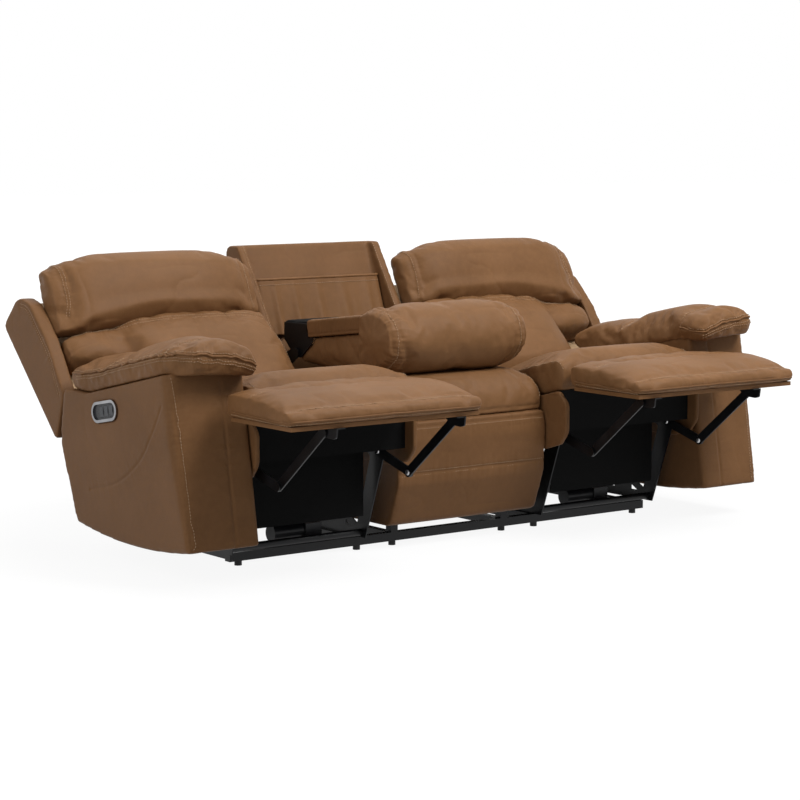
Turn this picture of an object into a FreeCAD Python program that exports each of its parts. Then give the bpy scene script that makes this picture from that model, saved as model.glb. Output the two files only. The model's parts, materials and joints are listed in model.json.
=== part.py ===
"""Three-seat power reclining sofa with a drop-down console in its middle back.

Millimetres. +X to the viewer's right, the seats face -Y, +Z up. Both end seats are
reclined with their footrests out, and the middle back is folded down as a table.
Depths are counted from the plane of the arm fronts and moved to the origin on export.
"""
import FreeCAD, Part
import math
import os

from FreeCAD import Vector

# Overall widths
seat_width = 567.0
arm_width = 249.0
pad_overhang = 5.5
body_gap = 1.5

# Arms
arm_bottom = 80.0
arm_front_top = 590.0
arm_rear_top = 497.0
arm_front_lean = 85.0
arm_rear_gap = 11.0
arm_corner = 32.0
arm_taper = 20.0
arm_wall = 16.0
frame_member = 55.0
pad_height = 98.0
pad_nose = 88.0
pad_tail = 38.0

# Control panel on the outside of each arm
panel_depth = 365.0
panel_height = 454.0
panel_length = 140.0
panel_width = 60.0
panel_rim = 8.0
panel_sink = 12.0
panel_proud = 4.0
panel_tilt = 10.0
rocker_width = 18.0
rocker_height = 32.0
rocker_pitch = 27.0
rocker_gap = 0.4
rocker_pin = 1.5
pin_clearance = 0.05

# Floor frame
tube = 26.0
glide_height = 14.0
glide_radius = 11.0
front_rail_depth = 193.0
rail_reach = 802.0
outer_rail = 772.0
inner_rail = 345.0
middle_rail = 213.0
glide_outer = 765.5

# Middle seat
middle_bottom = 72.0
middle_deck = 388.0
middle_top = 505.0
middle_front = 59.0
middle_nose = 94.0
middle_rear_gap = 15.0
board = 18.0

# Middle back shell
shell_front_top = 929.0
shell_top = 872.0
shell_front_lean = 32.0
shell_rear_bottom = 860.0
shell_rear_lean = 10.3
shell_wing = 32.0
recess_lean = 21.4
recess_top_depth = 26.0
recess_floor = 400.0
pocket_hem = 765.0
pocket_drop = 175.0
pocket_depth = 34.0
pocket_sheet = 5.0

# Console
console_pivot_gap = 25.0
console_pivot_height = 550.0
console_tilt = 6.9
console_half = 246.0
console_thickness = 55.0
console_rear = 596.0
console_top = 655.0
console_front = 297.0
cover_rear = 735.0
cover_height = 68.0
cushion_rest = 510.0
bolster_front = 105.0
bolster_top = 727.0
bolster_half = 270.0
hinge_plate = 4.0
hinge_pin = 6.0
cup_offset = 155.0
cup_depth_place = 350.0
cup_radius = 42.0
cup_wall = 2.0
cup_depth = 48.0
cup_rim = 5.0

# End seats
side_panel = 16.0
deck_front = 10.0
deck_rear_gap = 170.0
deck_front_height = 450.0
deck_slope = 12.7
deck_thickness = 14.0
seat_nose = 26.0
seat_thickness = 108.0
seat_crown = 10.0
dust_board_bottom = 322.0
side_panel_bottom = 262.0
side_panel_front = 40.0
curtain_depth = 131.0
curtain_bottom = 112.0
curtain_inset = 24.0
curtain_thickness = 4.0

# Steel seat mechanism
plate = 4.0
inner_plate = 340.0
outer_plate = 812.0
link_pivot = (80.0, 310.0)
elbow_pivot = (-75.0, 265.0)
board_pivot = (-290.0, 440.0)
link_thickness = 5.0
link_width = 28.0
link_gap = 1.0
pivot_radius = 6.0
plate_foot = 150.0
front_tube_depth = 120.0
low_tube_depth = 176.0
rear_tube_gap = 50.0
bracket_front = 250.0
bracket_rear = 330.0
bracket_height = 140.0
hinge_eye = 13.0
window_margin = 28.0
cross_tube_radius = 11.0

# Footrest
footrest_reach = 360.0
footrest_rear = 36.0
footrest_inner = 286.0
footrest_outer = 955.0
footrest_board_height = 455.0
footrest_board = 12.0
footrest_thickness = 78.0
footrest_crown = 4.0

# Reclining back, measured from its hinge along the back and square to it
hinge_depth = 625.0
hinge_height = 395.0
back_lean = 45.0
back_height = 456.0
back_rear = 90.0
back_wall = 12.0
back_board = 18.0
back_outer = 1080.0
wing_wall = 45.0
wing_front = 84.0
back_corner = 25.0
lumbar_bottom = -64.0
lumbar_top = 290.0
lumbar_front = 150.0
lumbar_lower_outer = 832.0
ear_bottom = 150.0
ear_front = 106.0
ear_outer = 1030.0
headrest_pivot_along = 296.0
headrest_pivot_out = 12.8
headrest_tilt = 18.0
headrest_top = 550.0
headrest_front = 122.0
headrest_pin = 5.0

# Actuator
actuator_offset = 86.0
actuator_depth = 250.0
actuator_height = 62.0
motor_radius = 26.0
motor_length = 105.0
gearbox = 58.0
track_width = 26.0
track_length = 330.0
slider_length = 60.0
slider_gap = 0.3

# Derived places
seat_inner = seat_width / 2
arm_inner = 1.5 * seat_width
arm_outer = arm_inner + arm_width
arm_rear_depth = hinge_depth + arm_rear_gap
pad_rear = arm_rear_depth - pad_tail
middle_rear = hinge_depth + middle_rear_gap
rear_rail_depth = middle_rear
deck_rear = hinge_depth - deck_rear_gap
console_pivot_depth = hinge_depth + console_pivot_gap
pad_outer = arm_outer + pad_overhang
lean = math.radians(back_lean)
shell_reach = (hinge_depth + (back_height - back_corner) * math.sin(lean)
               + (back_rear - back_corner) * math.cos(lean) + back_corner)
arm_front = (footrest_reach - shell_reach) / 2
cushion_inner = seat_inner + 3.0
lumbar_inner = cushion_inner + 14.0


# Drawing helpers. Outlines are drawn across the sofa, in depth and height, unless said otherwise.
def across(x, point):
    """A point of an outline that stands at the width x."""
    return Vector(x, point[0], point[1])


def wire(place, start, *steps):
    """A closed wire; a step is one point for a line, or two points for an arc through the first."""
    edges = []
    here = start
    for step in steps:
        if isinstance(step[0], tuple):
            via, end = step
            edges.append(Part.Arc(place(here), place(via), place(end)).toShape())
        else:
            end = step
            edges.append(Part.makeLine(place(here), place(end)))
        here = end
    if math.dist(here, start) > 1e-6:
        edges.append(Part.makeLine(place(here), place(start)))
    return Part.Wire(edges)


def rounded(points, radii):
    """Steps of a polygon whose corners are rounded by arcs; a radius of 0 keeps a corner sharp."""
    count = len(points)
    if not isinstance(radii, (list, tuple)):
        radii = [radii] * count
    steps = []
    for i, corner in enumerate(points):
        if radii[i] == 0:
            steps.append(corner)
            continue
        before, after = points[i - 1], points[(i + 1) % count]
        to_before = unit(corner, before)
        to_after = unit(corner, after)
        half = math.acos(sum(a * b for a, b in zip(to_before, to_after))) / 2
        limit = 0.49 * min(math.dist(corner, before), math.dist(corner, after))
        reach = min(radii[i] / math.tan(half), limit)
        radius = reach * math.tan(half)
        middle = unit((0, 0), tuple(a + b for a, b in zip(to_before, to_after)))
        inset = radius / math.sin(half) - radius
        first = tuple(c + reach * a for c, a in zip(corner, to_before))
        last = tuple(c + reach * a for c, a in zip(corner, to_after))
        via = tuple(c + inset * m for c, m in zip(corner, middle))
        steps.append(first)
        steps.append((via, last))
    return steps


def unit(start, end):
    """Direction from one flat point to another."""
    length = math.dist(start, end)
    return tuple((e - s) / length for s, e in zip(start, end))


def prism(points, x0, x1, radii=0):
    """A solid of one outline from the width x0 to the width x1."""
    steps = rounded(points, radii)
    first = steps[-1][-1] if isinstance(steps[-1][0], tuple) else steps[-1]
    outline = wire(lambda p: across(x0, p), first, *steps)
    return Part.Face(outline).extrude(Vector(x1 - x0, 0, 0))


def loft(wires):
    """A smooth closed solid through wires of the same kind."""
    return Part.makeLoft(wires, True, False)


def crowned(section, x0, x1, inset, power=6):
    """A cushion from side to side: its outline is drawn in towards both sides by a smooth rule."""
    middle, half = (x0 + x1) / 2, (x1 - x0) / 2
    shares = (-1.0, -0.9, -0.7, -0.35, 0.0, 0.35, 0.7, 0.9, 1.0)
    return loft([section(middle + half * share, inset * abs(share) ** power) for share in shares])


def block(x0, x1, y0, y1, z0, z1):
    """A box between two corners."""
    return Part.makeBox(x1 - x0, y1 - y0, z1 - z0, Vector(x0, y0, z0))


def rod(x0, x1, centre, radius):
    """A round bar across the sofa."""
    return Part.makeCylinder(radius, x1 - x0, across(x0, centre), Vector(1, 0, 0))


def strap(start, end, width, x0, x1):
    """A flat link with round ends at two pivots."""
    along = unit(start, end)
    side = (-along[1] * width / 2, along[0] * width / 2)
    corners = [(start[0] + side[0], start[1] + side[1]), (start[0] - side[0], start[1] - side[1]),
               (end[0] - side[0], end[1] - side[1]), (end[0] + side[0], end[1] + side[1])]
    body = prism(corners, x0, x1)
    for centre in (start, end):
        body = body.fuse(rod(x0, x1, centre, width / 2))
    return body.removeSplitter()


def union(*shapes):
    """Several solids joined into one."""
    return shapes[0].multiFuse(list(shapes[1:])).removeSplitter()


def group(*shapes):
    """Separate solids kept in one node."""
    return Part.makeCompound(list(shapes))


def mirrored(shape):
    """The same piece on the viewer's left."""
    return shape.mirror(Vector(0, 0, 0), Vector(1, 0, 0))


def save(name, shape):
    """Write one node, moved from the arm fronts to the origin."""
    placed = shape.copy()
    placed.translate(Vector(0, arm_front, 0))
    placed.exportStep("parts/" + name + ".step")
    print(name, len(placed.Solids), placed.isValid(), round(placed.Volume / 1e6, 3))


def save_sides(name, shape):
    """Write a piece of the right seat and its mirror image on the left."""
    save("right_" + name, shape)
    save("left_" + name, mirrored(shape))


def save_both(name, shape):
    """Write one node that holds a piece and its mirror image."""
    save(name, group(shape, mirrored(shape)))


# Floor frame
def make_base():
    """Welded floor frame: two cross tubes, rails along the depth and risers for the middle box."""
    low, high = glide_height, glide_height + tube
    half = tube / 2
    parts = []
    for depth in (front_rail_depth, rear_rail_depth):
        parts.append(block(-rail_reach, rail_reach, depth - half, depth + half, low, high))
    for place in (outer_rail, inner_rail, middle_rail):
        for x in (-place, place):
            parts.append(block(x - half, x + half, front_rail_depth, rear_rail_depth, low, high))
    for x in (-middle_rail, middle_rail):
        for depth in (front_rail_depth, rear_rail_depth - half - board):
            parts.append(block(x - half, x + half, depth - half, depth + half, low, middle_bottom))
    save("base_frame", union(*parts))
    feet = []
    for x in (glide_outer, inner_rail, middle_rail):
        for side in (-x, x):
            for depth in (front_rail_depth, rear_rail_depth):
                feet.append(Part.makeCylinder(glide_radius, glide_height, Vector(side, depth, 0)))
    save("glide_feet", group(*feet))


# Arms
def arm_block():
    """The arm below its pad, without its hollow."""
    boat = 0.42 * arm_rear_depth
    side = wire(lambda p: across(arm_inner, p), (-0.65 * arm_front_lean, arm_bottom + 22),
                ((boat, arm_bottom), (arm_rear_depth - 70, arm_bottom + 28)),
                (arm_rear_depth, 333.0), (arm_rear_depth - 30, arm_rear_top),
                (470.0, arm_rear_top), (0.3 * arm_front_lean, arm_front_top))
    body = Part.Face(side).extrude(Vector(arm_width, 0, 0))
    low, high = 0.0, arm_front_top + 20
    shift = arm_front_lean * (high - low) / (arm_front_top - arm_bottom)
    start = -0.65 * arm_front_lean - shift * (arm_bottom + 22 - low) / (high - low)
    corners = [(arm_inner, start), (arm_outer, start),
               (arm_outer, 2 * arm_rear_depth), (arm_inner, 2 * arm_rear_depth)]
    steps = rounded(corners, [arm_corner / 3, arm_corner, 0, 0])
    plan = wire(lambda p: Vector(p[0], p[1], low), corners[3], *steps)
    body = body.common(Part.Face(plan).extrude(Vector(0, shift, high - low)))
    taper_top = panel_height - panel_width
    wedge = wire(lambda p: Vector(p[0], -arm_rear_depth, p[1]), (arm_outer, taper_top),
                 (arm_outer - arm_taper, 0.0), (arm_outer + arm_taper, 0.0), (arm_outer + arm_taper, taper_top))
    return body.cut(Part.Face(wedge).extrude(Vector(0, 3 * arm_rear_depth, 0)))


def panel_place(shape):
    """Move a piece drawn at the origin to its place and tilt on the arm."""
    shape.rotate(Vector(0, 0, 0), Vector(1, 0, 0), -panel_tilt)
    shape.translate(Vector(arm_outer, panel_depth, panel_height))
    return shape


def oval(length, height, x0, x1):
    """A bar with round ends, drawn at the origin."""
    reach = (length - height) / 2
    body = block(x0, x1, -reach, reach, -height / 2, height / 2)
    for y in (-reach, reach):
        body = body.fuse(rod(x0, x1, (y, 0), height / 2))
    return body.removeSplitter()


def rocker_places():
    """Centres of the three rockers along the control panel."""
    return [rocker_pitch * step - panel_rim for step in (-1, 0, 1)]


def make_arms():
    """Arm covers with their wooden frames and pads."""
    solid = arm_block()
    x0, x1 = arm_inner + arm_wall, arm_outer - arm_taper - arm_wall
    y0, y1 = 0.3 * arm_front_lean + arm_wall, arm_rear_depth - 5 * arm_wall
    z0, z1 = arm_bottom + 2.5 * arm_wall, arm_rear_top - arm_wall
    hollow = block(x0, x1, y0, y1, z0, z1)
    window = block(x0, x1, y0 + frame_member, y1 - frame_member, z0 + frame_member, z1 - frame_member)
    save_both("arm_frames", hollow.cut(window))
    pocket = panel_place(oval(panel_length, panel_width, -panel_sink, panel_proud))
    save_sides("arm_cover", solid.cut(hollow).cut(pocket))
    stations = []
    for depth, low, high, inset in pad_stations():
        stations.append(pad_section(depth, low, high, inset))
    save_sides("arm_pad", loft(stations).cut(solid))


def pad_stations():
    """Depth, underside, top and drawn-in width of the arm pad from its nose to its tail."""
    slope = (arm_front_top - arm_rear_top) / 440.0
    rows = []
    for depth, lift, height, inset in ((-pad_nose, 20, 0.42, 26), (-70, 0, 0.82, 12), (-25, -8, 1.0, 3),
                                       (90, -4, 1.06, 0), (300, -4, 1.06, 0), (480, -4, 1.0, 3),
                                       (0.93 * pad_rear, 0, 0.92, 8), (pad_rear, 14, 0.6, 22)):
        line = arm_front_top - slope * min(max(depth, -20.0), 440.0)
        rows.append((depth, line + lift, line + lift + height * pad_height, inset))
    return rows


def pad_section(depth, low, high, inset):
    """One station of the arm pad: flat below, drawn-in sides and a crowned top."""
    x0, x1 = arm_inner - 15.0 + inset, pad_outer - inset
    rise = high - low
    return wire(lambda p: Vector(p[0], depth, p[1]), (x0 + 12, low), (x1 - 12, low),
                ((x1, low + 0.38 * rise), (x1 - 32, low + 0.84 * rise)),
                (((x0 + x1) / 2, high), (x0 + 32, low + 0.84 * rise)),
                ((x0, low + 0.38 * rise), (x0 + 12, low)))


def make_controls():
    """Bezel with its black face, and three rockers on each arm."""
    inner = panel_width - 2 * panel_rim
    face = oval(panel_length - 2 * panel_rim, inner, -panel_sink, -1.0)
    ring = oval(panel_length, panel_width, -panel_sink, panel_proud)
    ring = ring.cut(oval(panel_length - 2 * panel_rim, inner, -panel_sink, panel_proud))
    names = ("rear_rocker", "middle_rocker", "front_rocker")
    for name, y in zip(names, reversed(rocker_places())):
        half = rocker_width / 2
        tall = rocker_height / 2
        hole = block(-9.0, 0, y - half - rocker_gap, y + half + rocker_gap, -tall - rocker_gap, tall + rocker_gap)
        face = face.cut(hole)
        pin_line = Vector(-4.5, y - half - 2, 0)
        seat = Part.makeCylinder(rocker_pin + pin_clearance, rocker_width + 4 + 2 * rocker_gap,
                                 pin_line - Vector(0, rocker_gap, 0), Vector(0, 1, 0))
        face = face.cut(seat)
        outline = rounded([(-7.0, -tall), (-1.0, -tall), (0.5, 0), (-1.0, tall), (-7.0, tall)], [0, 1.2, 0, 1.2, 0])
        shape = wire(lambda p: Vector(p[0], y - half, p[1]), (-7.0, tall), *outline)
        rocker = Part.Face(shape).extrude(Vector(0, rocker_width, 0))
        rocker = rocker.fuse(Part.makeCylinder(rocker_pin, rocker_width + 4, pin_line, Vector(0, 1, 0)))
        save_sides(name, panel_place(rocker.removeSplitter()))
    panel = group(panel_place(ring), panel_place(face))
    save_both("control_panels", panel)


# Middle seat and its back shell
def make_middle_seat():
    """Open-bottomed upholstered box with its seat cushion."""
    half = seat_inner - body_gap
    outer = [(middle_front + 52, middle_bottom), (middle_front + 8, 200.0), (middle_front, 330.0),
             (middle_front + 8, middle_deck), (middle_rear, middle_deck), (middle_rear, middle_bottom)]
    inner = [(middle_front + 52 + 2 * board, middle_bottom - 1), (middle_front + 8 + 2 * board, 200.0),
             (middle_front + 2 * board, 330.0), (middle_front + 8 + 2 * board, middle_deck - board),
             (middle_rear - board, middle_deck - board), (middle_rear - board, middle_bottom - 1)]
    shell = prism(outer, -half, half, [20, 40, 40, 12, 0, 0])
    save("middle_seat_box", shell.cut(prism(inner, -half + board, half - board)))

    def section(x, drop):
        nose = middle_front + drop
        rear = middle_rear - 40
        return wire(lambda p: across(x, p), (middle_front + 10 + drop, middle_deck), (nose + 6, 430.0),
                    ((nose + 32, middle_deck + middle_nose - drop), (nose + 100, middle_top - drop)),
                    ((rear / 2 + 30, middle_top + 2 - drop), (rear, middle_top - 8 - drop)), (rear, middle_deck))
    save("middle_seat_cushion", crowned(section, -half, half, 12))


def recess_at(height):
    """Depth of the recessed panel of the middle back at a height."""
    top = shell_front_top + recess_top_depth
    return top - (shell_top - height) * math.tan(math.radians(recess_lean))


def rear_at(height):
    """Depth of the rear face of the middle back at a height."""
    return shell_rear_bottom + (height - middle_bottom) * math.tan(math.radians(shell_rear_lean))


def make_middle_back():
    """Fixed back shell with two wings, a recessed panel and a gathered pocket."""
    half = seat_inner - body_gap
    front = math.tan(math.radians(shell_front_lean))
    foot = shell_top - (shell_front_top - middle_rear - 2) / front
    outer = [(middle_rear + 0.3, middle_bottom), (rear_at(middle_bottom), middle_bottom),
             (rear_at(shell_top), shell_top), (shell_front_top, shell_top), (middle_rear + 0.3, foot)]
    body = prism(outer, -half, half, [0, 30, 26, 14, 20])
    recess = [(recess_at(recess_floor), recess_floor), (recess_at(shell_top + 9), shell_top + 9),
              (middle_rear - 60, shell_top + 9), (middle_rear - 60, recess_floor)]
    body = body.cut(prism(recess, -half + shell_wing, half - shell_wing))
    top = shell_top - 5 * board
    hollow = [(recess_at(recess_floor) + 1.3 * board, recess_floor), (recess_at(top) + 1.3 * board, top),
              (rear_at(top) - 1.3 * board, top), (rear_at(middle_bottom) - 1.3 * board, middle_bottom + board),
              (middle_rear + board, middle_bottom + board), (middle_rear + board, recess_floor - 2 * board),
              (recess_at(recess_floor), recess_floor - 2 * board)]
    body = body.cut(prism(hollow, -half + shell_wing, half - shell_wing))
    save("middle_back_shell", body)

    reach = half - shell_wing - 0.3
    low = pocket_hem - pocket_drop
    bag = [(recess_at(low), low), (recess_at(pocket_hem), pocket_hem),
           (recess_at(pocket_hem) - pocket_depth, pocket_hem), (recess_at(low) - 0.7 * pocket_depth, low)]
    inside = [(recess_at(low + 8), low + 8), (recess_at(pocket_hem + 1), pocket_hem + 1),
              (recess_at(pocket_hem + 1) - pocket_depth + pocket_sheet, pocket_hem + 1),
              (recess_at(low + 8) - 0.7 * pocket_depth + pocket_sheet, low + 8)]
    pocket = prism(bag, -reach, reach, [0, 0, 0, 10])
    save("storage_pocket", pocket.cut(prism(inside, -reach + pocket_sheet, reach - pocket_sheet)))


# Console, drawn level and then tilted about its rear top edge
def console_place(shape):
    """Tilt a level console piece so that its front end stands higher."""
    shape.rotate(Vector(0, console_rear, console_top), Vector(1, 0, 0), -console_tilt)
    return shape


def board_underside(depth):
    """Height of the underside of the tilted table at a depth."""
    run = (console_rear - depth) * math.tan(math.radians(console_tilt))
    return console_top + run - console_thickness / math.cos(math.radians(console_tilt))


def make_console():
    """Table, cups, cushion, bolster, dust cover and hinge of the folding middle back."""
    length = console_rear - console_front
    table = block(-console_half, console_half, console_rear - length, console_rear,
                  console_top - console_thickness, console_top)
    cups = []
    for x in (-cup_offset, cup_offset):
        centre = Vector(x, cup_depth_place, console_top - cup_depth)
        table = table.cut(Part.makeCylinder(cup_radius, cup_depth, centre))
        cup = Part.makeCylinder(cup_radius, cup_depth, centre)
        flange = Part.makeCylinder(cup_radius + cup_rim, cup_wall, centre + Vector(0, 0, cup_depth))
        hollow = Part.makeCylinder(cup_radius - cup_wall, cup_depth + cup_wall, centre + Vector(0, 0, cup_wall))
        cups.append(console_place(union(cup, flange).cut(hollow)))
    table = console_place(table)
    save("console_board", table)
    save("cup_holders", group(*cups))

    side = console_half - 2 * hinge_plate
    cover_bottom = console_top - cover_height - 7
    cover = [(console_rear + 0.3, cover_bottom + 20), (console_rear + 0.3, console_top - 4),
             (cover_rear, console_top - 8), (cover_rear, cover_bottom)]
    save("console_cover", prism(cover, -side, side, [0, 6, 16, 12]))

    pivot = (console_pivot_depth, console_pivot_height)
    arms = []
    brackets = []
    for sign in (-1, 1):
        low, high = sorted((sign * side, sign * (side + hinge_plate)))
        tongue = console_rear - 30
        heel = console_rear - console_thickness * math.sin(math.radians(console_tilt))
        arm = prism([(tongue, board_underside(tongue) - 12), (tongue, board_underside(tongue)),
                     (heel, board_underside(heel)), (console_rear + 2, console_top - 35),
                     (console_rear + 2, console_top - 12), (cover_rear - 12, console_top - 14),
                     (cover_rear - 12, cover_bottom + 8), (pivot[0] + 16, pivot[1] - 16),
                     (pivot[0] - 16, pivot[1] - 16), (console_rear - 20, cover_bottom)],
                    low, high, [4, 0, 0, 4, 4, 4, 10, 10, 10, 10])
        arms.append(arm.cut(rod(low - 1, high + 1, pivot, hinge_pin + pin_clearance)))
        wall = sign * (seat_inner - body_gap - shell_wing)
        low, high = sorted((wall, wall - sign * hinge_plate))
        base = prism([(pivot[0] + 50, pivot[1] - 60), (pivot[0] + 50, pivot[1] - 110),
                      (pivot[0] + 90, pivot[1] - 110), (pivot[0] + 90, pivot[1] - 20),
                      (pivot[0] + 10, pivot[1] + 16), (pivot[0] - 14, pivot[1] + 10), (pivot[0] - 14, pivot[1] - 12)],
                     low, high, [10, 0, 0, 10, 10, 10, 10])
        low, high = sorted((wall, sign * side))
        brackets.append(union(base, rod(low, high, pivot, hinge_pin)))
    save("console_hinge_arms", group(*arms))
    save("console_hinge_brackets", group(*brackets))

    def cushion_section(x, inset):
        rear = 0.5 * (console_pivot_depth + cover_rear) - 28
        under = cover_bottom - 0.3
        front = console_front + 0.3
        drop = console_rear - 2 - inset
        return wire(lambda p: across(x, p), (rear - inset, under - 8), (drop, under), (drop, board_underside(drop)),
                    (front, board_underside(front)), (front, cushion_rest + 12 + inset),
                    ((front + 6, cushion_rest + 3 + inset), (front + 20, cushion_rest + inset)),
                    (rear - 50, cushion_rest + inset), ((rear - 12, cushion_rest + 10 + inset), (rear - inset, under - 30)))
    half = side - body_gap
    save("console_cushion", crowned(cushion_section, -half, half, 10))

    def bolster_section(x, inset):
        rear = console_front - 0.3
        top, low = bolster_top - inset, cushion_rest + inset
        front = bolster_front + inset
        middle = (bolster_front + rear) / 2
        return wire(lambda p: across(x, p), (rear, low + 24), (rear, top - 16),
                    ((rear - 30, top - 3), (middle - 5, top - 5)),
                    ((front, (top + low) / 2), (middle - 5, low + 4)),
                    ((rear - 30, low + 5), (rear, low + 24)))
    save("console_bolster", crowned(bolster_section, -bolster_half, bolster_half, 26).cut(table))


# End seat, all pieces drawn for the viewer's right
def deck_at(depth):
    """Height of the top of the seat deck at a depth."""
    return deck_front_height - (depth - deck_front) * math.tan(math.radians(deck_slope))


def make_seat():
    """Deck with its front board, upholstered side panels and the seat cushion."""
    x0, x1 = seat_inner + body_gap + side_panel, arm_inner - body_gap - side_panel
    deck = prism([(deck_front, deck_at(deck_front)), (deck_rear, deck_at(deck_rear)),
                  (deck_rear, deck_at(deck_rear) - deck_thickness),
                  (deck_front, deck_at(deck_front) - deck_thickness)], x0, x1)
    front = block(x0, x1, deck_front, deck_front + board, dust_board_bottom, deck_at(deck_front + board) - 2)
    save_both("seat_decks", union(deck, front))
    curtain = block(inner_plate + curtain_inset, outer_plate + plate - curtain_inset,
                    curtain_depth, curtain_depth + curtain_thickness,
                    curtain_bottom, deck_at(curtain_depth + curtain_thickness) - deck_thickness - 2)
    save_both("dust_curtains", curtain)

    low, nose = side_panel_bottom, deck_front - side_panel_front
    outline = [(deck_front + 65, low), (deck_front - 10, low + 21), (nose, low + 60),
               (nose, deck_at(deck_front) - 35), (deck_front, deck_at(deck_front) - 0.3),
               (deck_rear, deck_at(deck_rear) - 0.3), (deck_rear, low)]
    radii = [40, 30, 30, 20, 12, 0, 0]
    panels = [prism(outline, x0 - side_panel, x0, radii), prism(outline, x1, x1 + side_panel, radii)]
    save_both("seat_side_panels", group(*panels))

    def section(x, inset):
        rear = deck_rear
        front = deck_front - seat_nose - 10 + inset
        tall = seat_thickness - inset
        return wire(lambda p: across(x, p), (rear, deck_at(rear)), (deck_front, deck_at(deck_front)),
                    ((front, deck_at(deck_front) + 0.45 * tall), (deck_front + 26, deck_at(deck_front) + tall)),
                    ((0.5 * rear, deck_at(0.5 * rear) + tall + seat_crown - inset), (rear - 10, deck_at(rear) + 0.78 * tall)))
    save_sides("seat_cushion", crowned(section, cushion_inner, arm_inner - body_gap - 1, 14))


def make_mechanism():
    """Fixed steel side frames of the seat, with cross tubes and brackets to the arm and middle box."""
    base = glide_height + tube
    under = deck_thickness + 0.3
    pivot = (hinge_depth, hinge_height)
    nose = link_pivot[0] - 20
    outline = [(plate_foot, base), (hinge_depth + 16, base), (hinge_depth + hinge_eye, hinge_height),
               (hinge_depth - hinge_eye, hinge_height), (hinge_depth - 22, hinge_height - 73),
               (deck_rear, deck_at(deck_rear) - under - 8), (nose, deck_at(nose) - under),
               (nose, link_pivot[1] - 20)]
    low, high = base + window_margin, link_pivot[1] - 10
    window = [(plate_foot + 45, low), (hinge_depth - 34, low), (hinge_depth - 34, high - 30),
              (deck_rear, high - 22), (link_pivot[0] + 40, high)]
    brace = strap((plate_foot + 45, low), (hinge_depth - 60, high - 25), window_margin - 4, 0, plate)
    parts = []
    for x, sign in ((inner_plate, 1), (outer_plate, -1)):
        side = prism(outline, x, x + plate, [0, 0, 0, 0, 0, 0, 0, 14])
        side = side.fuse(rod(x, x + plate, pivot, hinge_eye))
        side = side.cut(prism(window, x - 1, x + plate + 1, 14))
        bar = brace.copy()
        bar.translate(Vector(x, 0, 0))
        low, high = (x, x + plate + 2 * link_thickness) if sign > 0 else (x - 2 * link_thickness, x + plate)
        side = side.fuse(bar)
        for centre in (pivot, link_pivot):
            side = side.fuse(rod(low, high, centre, pivot_radius))
        parts.append(side)
    for centre in ((front_tube_depth, deck_at(front_tube_depth) - under - 40),
                   (hinge_depth - rear_tube_gap, link_pivot[1] - 10), (low_tube_depth, base + 14)):
        parts.append(rod(inner_plate + plate, outer_plate, centre, cross_tube_radius))
    for x in (outer_plate, inner_plate):
        parts.append(prism([(bracket_front, base), (bracket_rear, base), (bracket_rear, bracket_height + 50),
                            (bracket_front, bracket_height + 30)], x, x + plate))
    save_both("mechanism_frames", union(*parts))
    save_both("frame_brackets", group(frame_bracket(outer_plate + plate, arm_inner, arm_inner - plate),
                                      frame_bracket(seat_inner - body_gap, inner_plate, seat_inner - body_gap)))


def frame_bracket(start, end, foot):
    """A steel shelf between a side plate and its neighbour, with a foot on the neighbour."""
    shelf = block(start, end, bracket_front, bracket_rear, bracket_height, bracket_height + plate)
    return shelf.fuse(block(foot, foot + plate, bracket_front, bracket_rear,
                            bracket_height - 20, bracket_height + 40)).removeSplitter()


# Footrest linkage
def make_links():
    """Two flat links on each side of the footrest, each with a pin for the next piece."""
    rear, front = [], []
    for x, sign in ((inner_plate + plate, 1), (outer_plate, -1)):
        first = x + sign * link_gap
        second = first + sign * (link_thickness + link_gap)
        third = second + sign * (link_thickness + link_gap)
        spans = [sorted((start, start + sign * link_thickness)) for start in (first, second, third)]
        low, high = spans[0]
        link = strap(link_pivot, elbow_pivot, link_width, low, high)
        link = link.cut(rod(low - 1, high + 1, link_pivot, pivot_radius + pin_clearance))
        pin_low, pin_high = min(low, spans[1][0]), max(high, spans[1][1])
        rear.append(link.fuse(rod(pin_low, pin_high, elbow_pivot, pivot_radius)).removeSplitter())
        low, high = spans[1]
        link = strap(elbow_pivot, board_pivot, link_width, low, high)
        link = link.cut(rod(low - 1, high + 1, elbow_pivot, pivot_radius + pin_clearance))
        pin_low, pin_high = min(low, spans[2][0]), max(high, spans[2][1])
        front.append(link.fuse(rod(pin_low, pin_high, board_pivot, pivot_radius)).removeSplitter())
    save_sides("rear_links", group(*rear))
    save_sides("front_links", group(*front))


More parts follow.
